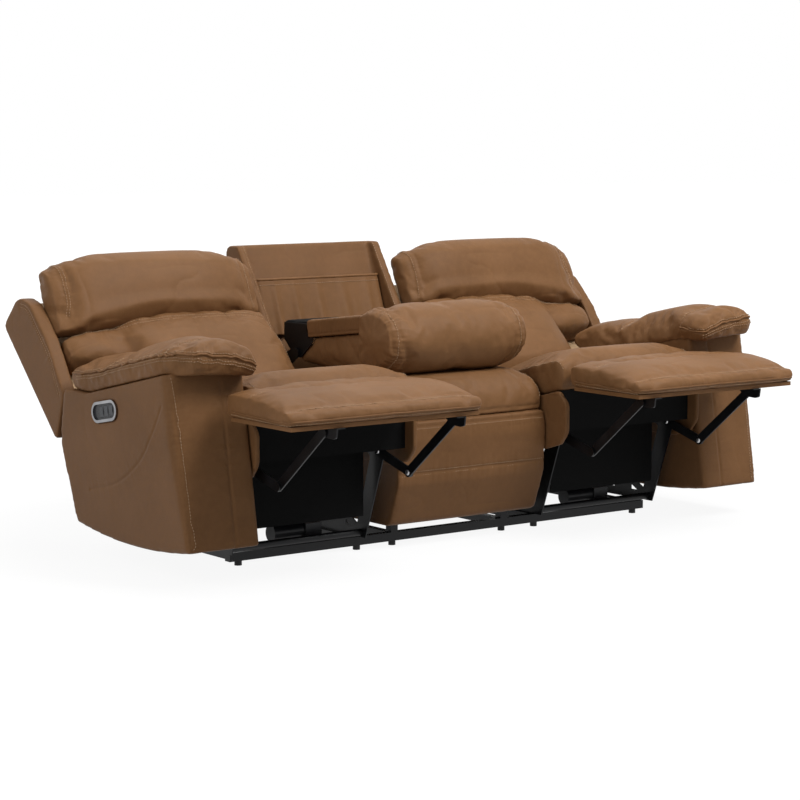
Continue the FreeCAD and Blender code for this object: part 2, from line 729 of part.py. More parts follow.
def make_footrest():
    """Board on two steel brackets under the leather pad."""
    top = footrest_board_height + footrest_board
    brackets = []
    for x, sign in ((inner_plate + plate, 1), (outer_plate, -1)):
        start = x + sign * (2 * link_thickness + 3 * link_gap)
        low, high = sorted((start, start + sign * link_thickness))
        y, z = board_pivot
        ear = prism([(y - 58, footrest_board_height), (y - 54, z - 12), (y - 38, z - 16), (y + 10, z - 14),
                     (y + 42, footrest_board_height)], low, high, [0, 8, 6, 10, 0])
        flange_low, flange_high = sorted((start, start + sign * 30))
        flange = block(flange_low, flange_high, y - 56, y + 90, footrest_board_height - 3, footrest_board_height)
        ear = union(ear, flange)
        brackets.append(ear.cut(rod(low - 1, high + 1, board_pivot, pivot_radius + pin_clearance)))
    save_sides("footrest_brackets", group(*brackets))
    front, rear = -footrest_reach, -footrest_rear
    save_sides("footrest_board", block(footrest_inner + 16, footrest_outer - 16, front + 22, rear - 12,
                                       footrest_board_height, top))

    def section(x, inset):
        tall = footrest_thickness - inset
        nose = front + inset
        return wire(lambda p: across(x, p), (rear, top), (rear, top + tall),
                    ((0.45 * front + 0.55 * rear, top + 0.92 * tall + footrest_crown), (nose + 34, top + 0.62 * tall)),
                    ((nose, top + 0.26 * tall), (nose + 14, top)))
    save_sides("footrest_pad", crowned(section, footrest_inner, footrest_outer, 14))


# Reclining back
def along(u, v):
    """Depth and height of a point of the back: u up along it from the hinge, v out towards the sitter."""
    return (hinge_depth + u * math.sin(lean) - v * math.cos(lean),
            hinge_height + u * math.cos(lean) + v * math.sin(lean))


def back_outline(points):
    """An outline given along the back and out from it."""
    return [along(u, v) for u, v in points]


def make_back():
    """Shell with an outer wing, board, steel hardware, lumbar cushion and headrest."""
    rear, board_back = -back_rear, 4.0 - back_board
    inner = seat_inner + body_gap + 5
    wing_in = back_outer - wing_wall
    wing = prism(back_outline([(0, rear), (back_height, rear), (back_height, wing_front - 40),
                               (back_height - 68, wing_front), (0.55 * back_height, wing_front),
                               (140, wing_front - 24), (66, wing_front - 38)]), wing_in, back_outer,
                 [10, back_corner, 64, 60, 60, 60, 10])
    tray = prism(back_outline([(0, rear), (back_height, rear), (back_height, board_back), (0, board_back)]),
                 inner, wing_in, [0, back_corner, 0, 0])
    tray = tray.cut(prism(back_outline([(-1, rear + back_wall), (back_height - back_wall, rear + back_wall),
                                        (back_height - back_wall, 0), (-1, 0)]),
                          inner + back_wall, wing_in, [0, back_corner - back_wall, 0, 0]))
    save_sides("back_shell", union(wing, tray))

    board_in, board_out = inner + 1, wing_in - 1
    panel = prism(back_outline([(24, board_back), (back_height, board_back), (back_height, 4.0), (24, 4.0)]),
                  board_in, board_out)
    cutout = prism(back_outline([(110, -60), (230, -60), (230, 60), (110, 60)]),
                   inner_plate + 60, outer_plate - 60)
    save_sides("back_board", panel.cut(cutout))

    hardware = []
    arm = [(-15, -15), (-15, 8), (8, 15), (20, 8), (22, board_back), (150, board_back), (150, -48), (40, -48)]
    for x, sign in ((inner_plate + plate, 1), (outer_plate, -1)):
        low, high = sorted((x + sign * link_gap, x + sign * (link_gap + link_thickness)))
        bracket = prism(back_outline(arm), low, high, [10, 8, 6, 6, 0, 0, 10, 30])
        hardware.append(bracket.cut(rod(low - 1, high + 1, along(0, 0), pivot_radius + pin_clearance)))
    pin_centre = along(headrest_pivot_along, headrest_pivot_out)
    middle = (seat_inner + ear_outer) / 2
    pin = rod(middle - 130, middle + 130, pin_centre, headrest_pin)
    lugs = []
    for x in (middle - 112, middle + 104):
        lug = prism(back_outline([(headrest_pivot_along - 9, 4.0), (headrest_pivot_along + 9, 4.0),
                                  (headrest_pivot_along + 9, headrest_pivot_out + 9),
                                  (headrest_pivot_along - 9, headrest_pivot_out + 9)]), x, x + 8, [0, 0, 7, 7])
        lugs.append(lug)
    hardware.append(union(pin, *lugs))
    save_sides("back_hardware", group(*hardware))

    arms = []
    for x in (middle - 128, middle + 116):
        barrel = rod(x, x + 12, pin_centre, headrest_pin + 3.5)
        blade = prism(headrest_outline([(3, -4), (110, -4), (110, 0), (3, 0)]), x, x + 12)
        arms.append(union(barrel, blade).cut(rod(x - 1, x + 13, pin_centre, headrest_pin + pin_clearance)))
    save_sides("headrest_arms", group(*arms))
    make_back_cushions()


def headrest_outline(points):
    """An outline on the headrest, measured from its pivot along its tilted rear face."""
    tilt = math.radians(headrest_tilt)
    turned = []
    for u, v in points:
        shifted = v + 11
        turned.append((headrest_pivot_along + u * math.cos(tilt) - shifted * math.sin(tilt),
                       headrest_pivot_out + u * math.sin(tilt) + shifted * math.cos(tilt)))
    return back_outline(turned)


def make_back_cushions():
    """Lumbar cushion with its ear over the arm, and the headrest pillow."""
    def lumbar_section(x, inset):
        front = lumbar_front - inset
        foot = hinge_eye + 5
        points = back_outline([(lumbar_bottom + inset, foot), (lumbar_bottom + inset, front - 22),
                               (lumbar_bottom + 24 + inset, front), (0.5 * lumbar_top, front + 2),
                               (lumbar_top - 30, front - 18), (lumbar_top, front - 42), (lumbar_top - 6, 4.3),
                               (26, 4.3), (20, foot)])
        low = back_outline([(lumbar_bottom + 5 + inset, front - 5)])[0]
        high = back_outline([(lumbar_top - 7, front - 24)])[0]
        return wire(lambda p: across(x, p), points[0], points[1], (low, points[2]), (points[3], points[4]),
                    (high, points[5]), points[6], points[7], points[8])
    x0, x1 = lumbar_inner, lumbar_lower_outer
    body = crowned(lumbar_section, x0, x1, 28, 5)

    def ear_section(x, inset):
        front = ear_front - inset
        low, high = ear_bottom + inset, lumbar_top - 8
        points = back_outline([(low, 4.3), (low, front - 20), (low + 5, front - 6), (low + 20, front),
                               ((low + high) / 2, front + 4), (high - 22, front - 2), (high - 6, front - 8),
                               (high, front - 24), (high, 4.3)])
        return wire(lambda p: across(x, p), points[0], points[1], (points[2], points[3]),
                    (points[4], points[5]), (points[6], points[7]), points[8])
    ear = loft([ear_section(x1 - 6 + (ear_outer - x1 + 6) * share, 22 * share ** 5)
                for share in (0.0, 0.3, 0.6, 0.8, 0.93, 1.0)])
    save_sides("lumbar_cushion", union(body, ear))

    def pillow_section(x, inset):
        top = headrest_top - headrest_pivot_along - 0.8 * inset
        front = headrest_front - inset
        points = headrest_outline([(12, 0.3), (27, 0.87 * front - 22), (42, 0.87 * front - 4), (0.46 * top, 0.99 * front),
                                   (0.76 * top, front), (top, 0.42 * front), (0.9 * top, 0.3)])
        low = headrest_outline([(31, 0.87 * front - 10)])[0]
        crest = headrest_outline([(0.94 * top, 0.78 * front)])[0]
        rim = headrest_outline([(0.975 * top, 0.17 * front)])[0]
        return wire(lambda p: across(x, p), points[0], points[1], (low, points[2]), (points[3], points[4]),
                    (crest, points[5]), (rim, points[6]))
    save_sides("headrest_cushion", crowned(pillow_section, cushion_inner + 8, ear_outer, 52, 4))


# Footrest actuator, the same unit under each end seat
def make_actuators():
    """Motor, gearbox and track on the floor frame, with the slider that runs on the track."""
    base = glide_height + tube
    fixed = []
    for seat, side in ((-seat_width, "left"), (seat_width, "right")):
        x = seat + actuator_offset
        box = block(x - gearbox / 2, x + gearbox / 2, actuator_depth - 30, actuator_depth + 30,
                    base, actuator_height + gearbox / 2)
        motor = rod(x - gearbox / 2 - motor_length, x - gearbox / 2, (actuator_depth, actuator_height + 6), motor_radius)
        start = actuator_depth + 30
        track = block(x - track_width / 2, x + track_width / 2, start, start + track_length,
                      actuator_height - 12, actuator_height + 12)
        foot = block(x - track_width / 2, x + track_width / 2, start + track_length, rear_rail_depth + 8,
                     base, actuator_height + 12)
        lug = block(x - track_width / 2, x + track_width / 2, front_rail_depth, actuator_depth - 30,
                    base, base + 16)
        fixed.append(union(box, motor, track, foot, lug))
        gap = slider_gap
        outer = block(x - track_width / 2 - 10, x + track_width / 2 + 10, start + 20, start + 20 + slider_length,
                      actuator_height - 12 - gap - 6, actuator_height + 12 + gap + 18)
        inner = block(x - track_width / 2 - gap, x + track_width / 2 + gap, start, start + 40 + slider_length,
                      actuator_height - 12 - gap, actuator_height + 12 + gap)
        save(side + "_actuator_slider", outer.cut(inner))
    save("actuators", group(*fixed))


def main():
    """Build every node."""
    os.makedirs("parts", exist_ok=True)
    make_base()
    make_arms()
    make_controls()
    make_middle_seat()
    make_middle_back()
    make_console()
    make_seat()
    make_mechanism()
    make_links()
    make_footrest()
    make_back()
    make_actuators()


main()
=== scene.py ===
"""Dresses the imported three-seat reclining sofa: leather, stitching, steel, light and camera."""
from __future__ import annotations

import json
import logging
import math
from dataclasses import dataclass, field
from enum import Enum
from typing import Callable, Sequence

import bmesh
import bpy
import numpy as np
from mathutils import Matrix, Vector
from mathutils.bvhtree import BVHTree

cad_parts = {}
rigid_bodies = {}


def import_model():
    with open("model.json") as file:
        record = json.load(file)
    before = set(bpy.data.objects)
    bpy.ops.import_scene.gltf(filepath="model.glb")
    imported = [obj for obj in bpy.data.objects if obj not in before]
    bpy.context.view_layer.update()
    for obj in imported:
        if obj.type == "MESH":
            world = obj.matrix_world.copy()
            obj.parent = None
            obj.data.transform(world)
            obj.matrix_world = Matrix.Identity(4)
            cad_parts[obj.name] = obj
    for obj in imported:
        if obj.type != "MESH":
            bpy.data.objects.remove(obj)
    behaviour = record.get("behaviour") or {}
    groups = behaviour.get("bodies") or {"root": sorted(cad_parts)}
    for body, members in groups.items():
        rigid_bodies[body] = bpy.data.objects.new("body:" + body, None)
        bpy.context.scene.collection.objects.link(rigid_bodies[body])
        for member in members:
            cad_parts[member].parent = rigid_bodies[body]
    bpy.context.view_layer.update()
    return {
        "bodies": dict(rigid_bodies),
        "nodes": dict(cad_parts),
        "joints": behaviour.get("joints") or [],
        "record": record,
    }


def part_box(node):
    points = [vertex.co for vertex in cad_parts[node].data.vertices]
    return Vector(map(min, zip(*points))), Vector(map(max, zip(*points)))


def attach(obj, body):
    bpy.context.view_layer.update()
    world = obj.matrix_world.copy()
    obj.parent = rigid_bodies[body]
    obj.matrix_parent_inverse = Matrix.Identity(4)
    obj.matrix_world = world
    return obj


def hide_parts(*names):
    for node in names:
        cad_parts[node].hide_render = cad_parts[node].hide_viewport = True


LOG = logging.getLogger("sofa")
ARM_FRONT_MM = -320.36
MM = 0.001
Point = Sequence[float]


class Finish(Enum):
    """The finishes of the sofa."""

    LEATHER = "leather"
    LEATHER_COVER = "leather_cover"
    THREAD = "thread"
    STEEL = "steel"
    PIN_STEEL = "pin_steel"
    WOOD = "wood"
    DUST_CLOTH = "dust_cloth"
    GLIDE = "glide"
    PANEL = "panel"
    PANEL_FACE = "panel_face"
    ROCKER = "rocker"
    CUP = "cup"
    MOTOR = "motor"


class SeamKind(Enum):
    """How a seam is sewn."""

    CREASE = "crease"
    TOPSTITCH = "topstitch"
    DOUBLE = "double"
    WELT = "welt"


class Side(Enum):
    """The two ends of the sofa, with the sign of their width."""

    RIGHT = 1
    LEFT = -1


def at(x: float, depth: float, height: float) -> np.ndarray:
    """A point given in millimetres from the arm fronts, as a point of the row frame in metres.

    Args:
        x: width, positive to the viewer's right.
        depth: depth behind the plane of the arm fronts.
        height: height above the floor.

    Returns:
        The point in metres.
    """
    return np.array((x, depth + ARM_FRONT_MM, height)) * MM


def lattice_noise(co: np.ndarray, scale: Point, seed: int) -> np.ndarray:
    """Smooth noise from 0 to 1 at many points.

    Args:
        co: points, one row each.
        scale: cells per metre along each axis.
        seed: picks one of many fields.

    Returns:
        One value for each point.
    """
    p = co * np.asarray(scale) + 31.7 * seed
    cell = np.floor(p).astype(np.int64)
    f = p - cell
    f = f * f * (3 - 2 * f)
    total = np.zeros(len(co))
    for dx in (0, 1):
        for dy in (0, 1):
            for dz in (0, 1):
                h = (cell[:, 0] + dx) * 73856093 ^ (cell[:, 1] + dy) * 19349663 ^ (cell[:, 2] + dz) * 83492791
                h = (h ^ (h >> 13)) * 1274126177 & 0xFFFFFF
                weight = (np.abs(1 - dx - f[:, 0]) * np.abs(1 - dy - f[:, 1]) * np.abs(1 - dz - f[:, 2]))
                total += weight * (h / 0xFFFFFF)
    return total


# Materials
@dataclass(frozen=True)
class Shader:
    """Builds node materials."""

    name: str

    def start(self) -> tuple[bpy.types.Material, bpy.types.NodeTree, bpy.types.Node, bpy.types.Node]:
        """A new material with its shader and its object coordinates.

        Returns:
            The material, its tree, the shader node and the coordinate node.
        """
        material = bpy.data.materials.new(self.name)
        material.use_nodes = True
        tree = material.node_tree
        shader = tree.nodes["Principled BSDF"]
        coords = tree.nodes.new("ShaderNodeTexCoord")
        return material, tree, shader, coords

    @staticmethod
    def noise(tree: bpy.types.NodeTree, coords: bpy.types.Node, scale: float, detail: float = 4.0,
              rough: float = 0.55) -> bpy.types.Node:
        """A noise texture on the object's own coordinates.

        Args:
            tree: the node tree.
            coords: the coordinate node.
            scale: cells per metre.
            detail: octaves.
            rough: share of the next octave.

        Returns:
            The texture node.
        """
        node = tree.nodes.new("ShaderNodeTexNoise")
        node.inputs["Scale"].default_value = scale
        node.inputs["Detail"].default_value = detail
        node.inputs["Roughness"].default_value = rough
        tree.links.new(coords.outputs["Object"], node.inputs["Vector"])
        return node

    @staticmethod
    def ramp(tree: bpy.types.NodeTree, source: bpy.types.NodeSocket, low: Point, high: Point,
             start: float = 0.3, end: float = 0.7) -> bpy.types.Node:
        """A colour ramp between two colours.

        Args:
            tree: the node tree.
            source: the value to read.
            low: colour at the start.
            high: colour at the end.
            start: value of the first colour.
            end: value of the second colour.

        Returns:
            The ramp node.
        """
        node = tree.nodes.new("ShaderNodeValToRGB")
        node.color_ramp.elements[0].position = start
        node.color_ramp.elements[1].position = end
        node.color_ramp.elements[0].color = (*low, 1.0)
        node.color_ramp.elements[1].color = (*high, 1.0)
        tree.links.new(source, node.inputs["Fac"])
        return node

    @staticmethod
    def span(tree: bpy.types.NodeTree, source: bpy.types.NodeSocket, low: float,
             high: float) -> bpy.types.Node:
        """A value from 0 to 1 turned into one between two others.

        Args:
            tree: the node tree.
            source: the value to read.
            low: result at 0.
            high: result at 1.

        Returns:
            The range node.
        """
        node = tree.nodes.new("ShaderNodeMapRange")
        node.inputs["To Min"].default_value = low
        node.inputs["To Max"].default_value = high
        tree.links.new(source, node.inputs["Value"])
        return node

    @staticmethod
    def bump(tree: bpy.types.NodeTree, height: bpy.types.NodeSocket, strength: float, distance: float,
             below: bpy.types.Node | None = None) -> bpy.types.Node:
        """A bump, laid over another where one is given.

        Args:
            tree: the node tree.
            height: the height field.
            strength: share of the bump.
            distance: its depth in metres.
            below: an earlier bump node.

        Returns:
            The bump node.
        """
        node = tree.nodes.new("ShaderNodeBump")
        node.inputs["Strength"].default_value = strength
        node.inputs["Distance"].default_value = distance
        tree.links.new(height, node.inputs["Height"])
        if below is not None:
            tree.links.new(below.outputs["Normal"], node.inputs["Normal"])
        return node

    @staticmethod
    def mix(tree: bpy.types.NodeTree, share: bpy.types.NodeSocket, first: bpy.types.NodeSocket,
            second: bpy.types.NodeSocket) -> bpy.types.NodeSocket:
        """A colour mix.

        Args:
            tree: the node tree.
            share: share of the second colour.
            first: first colour.
            second: second colour.

        Returns:
            The mixed colour.
        """
        node = tree.nodes.new("ShaderNodeMix")
        node.data_type = "RGBA"
        tree.links.new(share, node.inputs[0])
        tree.links.new(first, node.inputs[6])
        tree.links.new(second, node.inputs[7])
        return node.outputs[2]


@dataclass(frozen=True)
class LeatherShader(Shader):
    """Tan leather with fine grain, soft creases and uneven dye."""

    dark: tuple[float, float, float] = (0.152, 0.073, 0.029)
    light: tuple[float, float, float] = (0.212, 0.105, 0.045)
    grain: float = 520.0
    roughness: tuple[float, float] = (0.40, 0.56)
    gloss: float = 0.10

    def build(self) -> bpy.types.Material:
        """The material."""
        material, tree, shader, coords = self.start()
        patches = self.noise(tree, coords, 3.2, 3.0)
        mottle = self.noise(tree, coords, 46.0, 6.0, 0.62)
        base = self.ramp(tree, patches.outputs["Fac"], self.dark, self.light, 0.34, 0.68)
        warm = self.ramp(tree, mottle.outputs["Fac"], tuple(0.9 * c for c in self.dark),
                         tuple(1.06 * c for c in self.light), 0.25, 0.75)
        share = self.span(tree, mottle.outputs["Fac"], 0.15, 0.55)
        colour = self.mix(tree, share.outputs[0], base.outputs["Color"], warm.outputs["Color"])
        tree.links.new(colour, shader.inputs["Base Color"])
        rough = self.span(tree, mottle.outputs["Fac"], *self.roughness)
        tree.links.new(rough.outputs[0], shader.inputs["Roughness"])
        cells = tree.nodes.new("ShaderNodeTexVoronoi")
        cells.feature = "DISTANCE_TO_EDGE"
        cells.inputs["Scale"].default_value = self.grain
        tree.links.new(coords.outputs["Object"], cells.inputs["Vector"])
        pores = self.ramp(tree, cells.outputs["Distance"], (0, 0, 0), (1, 1, 1), 0.0, 0.22)
        creases = self.noise(tree, coords, 95.0, 8.0, 0.7)
        first = self.bump(tree, pores.outputs["Color"], 0.22, 0.0004)
        second = self.bump(tree, creases.outputs["Fac"], 0.30, 0.0016, first)
        tree.links.new(second.outputs["Normal"], shader.inputs["Normal"])
        shader.inputs["Specular IOR Level"].default_value = self.gloss
        return material


@dataclass(frozen=True)
class CoatShader(Shader):
    """A hard surface with a faint texture: powder coat, moulded plastic, plated steel or a liner."""

    dark: tuple[float, float, float] = (0.002, 0.002, 0.0025)
    light: tuple[float, float, float] = (0.006, 0.006, 0.007)
    roughness: tuple[float, float] = (0.3, 0.5)
    metallic: float = 0.0
    grain: float = 900.0
    relief: float = 0.00025
    coat: float = 0.0

    def build(self) -> bpy.types.Material:
        """The material."""
        material, tree, shader, coords = self.start()
        broad = self.noise(tree, coords, 14.0, 5.0)
        fine = self.noise(tree, coords, self.grain, 3.0)
        base = self.ramp(tree, broad.outputs["Fac"], self.dark, self.light)
        tree.links.new(base.outputs["Color"], shader.inputs["Base Color"])
        rough = self.span(tree, broad.outputs["Fac"], *self.roughness)
        tree.links.new(rough.outputs[0], shader.inputs["Roughness"])
        bump = self.bump(tree, fine.outputs["Fac"], 0.35, self.relief)
        tree.links.new(bump.outputs["Normal"], shader.inputs["Normal"])
        shader.inputs["Metallic"].default_value = self.metallic
        shader.inputs["Specular IOR Level"].default_value = 0.25
        shader.inputs["Coat Weight"].default_value = self.coat
        shader.inputs["Coat Roughness"].default_value = 0.2
        return material


@dataclass(frozen=True)
class WeaveShader(Shader):
    """Woven cloth or twisted thread."""

    dark: tuple[float, float, float] = (0.001, 0.001, 0.001)
    light: tuple[float, float, float] = (0.004, 0.004, 0.004)
    threads: float = 900.0
    relief: float = 0.0004

    def build(self) -> bpy.types.Material:
        """The material."""
        material, tree, shader, coords = self.start()
        heights = []
        for direction in ("X", "Z"):
            wave = tree.nodes.new("ShaderNodeTexWave")
            wave.bands_direction = direction
            wave.inputs["Scale"].default_value = self.threads
            wave.inputs["Distortion"].default_value = 0.6
            tree.links.new(coords.outputs["Object"], wave.inputs["Vector"])
            heights.append(wave.outputs["Fac"])
        joined = tree.nodes.new("ShaderNodeMath")
        joined.operation = "MULTIPLY"
        tree.links.new(heights[0], joined.inputs[0])
        tree.links.new(heights[1], joined.inputs[1])
        fuzz = self.noise(tree, coords, 60.0, 6.0)
        base = self.ramp(tree, fuzz.outputs["Fac"], self.dark, self.light)
        tree.links.new(base.outputs["Color"], shader.inputs["Base Color"])
        rough = self.span(tree, fuzz.outputs["Fac"], 0.75, 0.95)
        tree.links.new(rough.outputs[0], shader.inputs["Roughness"])
        bump = self.bump(tree, joined.outputs[0], 0.4, self.relief)
        tree.links.new(bump.outputs["Normal"], shader.inputs["Normal"])
        shader.inputs["Specular IOR Level"].default_value = 0.12
        return material


@dataclass(frozen=True)
class PlyShader(Shader):
    """Raw plywood with long grain."""

    dark: tuple[float, float, float] = (0.32, 0.19, 0.09)
    light: tuple[float, float, float] = (0.55, 0.38, 0.22)

    def build(self) -> bpy.types.Material:
        """The material."""
        material, tree, shader, coords = self.start()
        stretch = tree.nodes.new("ShaderNodeMapping")
        stretch.inputs["Scale"].default_value = (2.0, 14.0, 60.0)
        tree.links.new(coords.outputs["Object"], stretch.inputs["Vector"])
        rings = tree.nodes.new("ShaderNodeTexNoise")
        rings.inputs["Scale"].default_value = 3.0
        rings.inputs["Detail"].default_value = 8.0
        tree.links.new(stretch.outputs["Vector"], rings.inputs["Vector"])
        base = self.ramp(tree, rings.outputs["Fac"], self.dark, self.light)
        tree.links.new(base.outputs["Color"], shader.inputs["Base Color"])
        rough = self.span(tree, rings.outputs["Fac"], 0.6, 0.85)
        tree.links.new(rough.outputs[0], shader.inputs["Roughness"])
        bump = self.bump(tree, rings.outputs["Fac"], 0.3, 0.0004)
        tree.links.new(bump.outputs["Normal"], shader.inputs["Normal"])
        return material


def make_finishes() -> dict[Finish, bpy.types.Material]:
    """All the materials of the sofa.

    Returns:
        One material for each finish.
    """
    return {
        Finish.LEATHER: LeatherShader("sofa_leather").build(),
        Finish.LEATHER_COVER: LeatherShader("sofa_leather_cover", (0.142, 0.068, 0.027),
                                            (0.192, 0.094, 0.040)).build(),
        Finish.THREAD: WeaveShader("sewing_thread", (0.34, 0.22, 0.13), (0.48, 0.33, 0.21), 1800.0).build(),
        Finish.STEEL: CoatShader("black_powder_coat").build(),
        Finish.PIN_STEEL: CoatShader("zinc_plate", (0.42, 0.42, 0.43), (0.60, 0.60, 0.60), (0.25, 0.42), 1.0,
                                     500.0, 0.0001).build(),
        Finish.WOOD: PlyShader("raw_plywood").build(),
        Finish.DUST_CLOTH: WeaveShader("black_lining_cloth").build(),
        Finish.GLIDE: CoatShader("glide_plastic", (0.010, 0.010, 0.010), (0.022, 0.022, 0.022),
                                 (0.4, 0.6)).build(),
        Finish.PANEL: CoatShader("satin_chrome", (0.20, 0.20, 0.21), (0.30, 0.30, 0.31), (0.14, 0.26), 1.0,
                                 700.0, 0.00005).build(),
        Finish.PANEL_FACE: CoatShader("panel_face", (0.006, 0.006, 0.008), (0.014, 0.014, 0.017),
                                      (0.22, 0.34)).build(),
        Finish.ROCKER: CoatShader("rocker_plastic", (0.030, 0.032, 0.036), (0.055, 0.058, 0.064),
                                  (0.3, 0.42)).build(),
        Finish.CUP: CoatShader("cup_liner", (0.010, 0.018, 0.034), (0.024, 0.042, 0.075), (0.16, 0.28), 0.6,
                               600.0, 0.0001, 0.4).build(),
        Finish.MOTOR: CoatShader("motor_plastic", (0.010, 0.010, 0.012), (0.024, 0.024, 0.027),
                                 (0.28, 0.42)).build(),
    }


# Mesh work
def coordinates(mesh: bpy.types.Mesh) -> np.ndarray:
    """The points of a mesh, one row each."""
    co = np.empty(len(mesh.vertices) * 3)
    mesh.vertices.foreach_get("co", co)
    return co.reshape(-1, 3)


def set_coordinates(mesh: bpy.types.Mesh, co: np.ndarray) -> None:
    """Write the points of a mesh."""
    mesh.vertices.foreach_set("co", co.astype(np.float32).ravel())
    mesh.update()


def normals(mesh: bpy.types.Mesh) -> np.ndarray:
    """The point normals of a mesh, one row each."""
    out = np.empty(len(mesh.vertices) * 3)
    mesh.vertex_normals.foreach_get("vector", out)
    return out.reshape(-1, 3)


def settle(obj: bpy.types.Object) -> None:
    """Apply an object's modifiers to its mesh.

    Args:
        obj: the object.
    """
    bpy.context.view_layer.update()
    graph = bpy.context.evaluated_depsgraph_get()
    mesh = bpy.data.meshes.new_from_object(obj.evaluated_get(graph))
    obj.modifiers.clear()
    obj.data = mesh


def new_object(name: str, mesh: bpy.types.Mesh) -> bpy.types.Object:
    """A mesh object linked to the scene."""
    obj = bpy.data.objects.new(name, mesh)
    bpy.context.scene.collection.objects.link(obj)
    return obj


def remesh(obj: bpy.types.Object, voxel: float) -> None:
    """Rebuild an object's surface on a voxel grid.

    Args:
        obj: the object.
        voxel: size of a voxel in metres.
    """
    modifier = obj.modifiers.new("voxels", "REMESH")
    modifier.mode = "VOXEL"
    modifier.voxel_size = voxel
    settle(obj)


def relax(mesh: bpy.types.Mesh, rounds: int, share: float = 0.5) -> None:
    """Smooth a mesh by drawing each point towards its neighbours.

    Args:
        mesh: the mesh.
        rounds: how often.
        share: how far each time.
    """
    edges = np.empty(len(mesh.edges) * 2, np.int64)
    mesh.edges.foreach_get("vertices", edges)
    a, b = edges.reshape(-1, 2).T
    co = coordinates(mesh)
    count = np.bincount(a, minlength=len(co)) + np.bincount(b, minlength=len(co))
    for _ in range(rounds):
        total = np.zeros_like(co)
        for axis in range(3):
            total[:, axis] = (np.bincount(a, co[b, axis], len(co)) + np.bincount(b, co[a, axis], len(co)))
        co = (1 - share) * co + share * total / np.maximum(count, 1)[:, None]
    set_coordinates(mesh, co)


def subdivide(obj: bpy.types.Object) -> None:
    """Subdivide an object once with smooth surfaces."""
    modifier = obj.modifiers.new("fine", "SUBSURF")
    modifier.levels = modifier.render_levels = 1
    settle(obj)


def keep_outer(mesh: bpy.types.Mesh) -> None:
    """Delete every loose part of a mesh but the one with the largest box.

    Args:
        mesh: the mesh.
    """
    work = bmesh.new()
    work.from_mesh(mesh)
    bmesh.ops.remove_doubles(work, verts=work.verts, dist=1e-5)
    seen: set[int] = set()
    parts = []
    work.verts.ensure_lookup_table()
    for vertex in work.verts:
        if vertex.index in seen:
            continue
        stack, part = [vertex], []
        seen.add(vertex.index)
        while stack:
            here = stack.pop()
            part.append(here)
            for edge in here.link_edges:
                other = edge.other_vert(here)
                if other.index not in seen:
                    seen.add(other.index)
                    stack.append(other)
        span = np.ptp(np.array([v.co for v in part]), axis=0)
        parts.append((float(np.prod(span + 1e-4)), part))
    parts.sort(key=lambda item: item[0])
    for _, part in parts[:-1]:
        bmesh.ops.delete(work, geom=part, context="VERTS")
    work.to_mesh(mesh)
    work.free()


def mirror_mesh(mesh: bpy.types.Mesh, name: str) -> bpy.types.Mesh:
    """The mirror image of a mesh on the other side of the sofa.

    Args:
        mesh: the mesh.
        name: name of the new mesh.

    Returns:
        The new mesh.
    """
    copy = mesh.copy()
    copy.name = name
    co = coordinates(copy)
    co[:, 0] *= -1
    copy.vertices.foreach_set("co", co.astype(np.float32).ravel())
    copy.flip_normals()
    copy.update()
    return copy


def smooth_shading(mesh: bpy.types.Mesh) -> None:
    """Shade all faces of a mesh smooth."""
    mesh.polygons.foreach_set("use_smooth", np.ones(len(mesh.polygons), bool))
    mesh.update()


def mesh_of(name: str, verts: np.ndarray, faces: np.ndarray | list) -> bpy.types.Mesh:
    """A smooth-shaded mesh from arrays."""
    mesh = bpy.data.meshes.new(name)
    mesh.from_pydata([tuple(v) for v in verts], [], [tuple(int(i) for i in f) for f in faces])
    mesh.validate()
    smooth_shading(mesh)
    return mesh


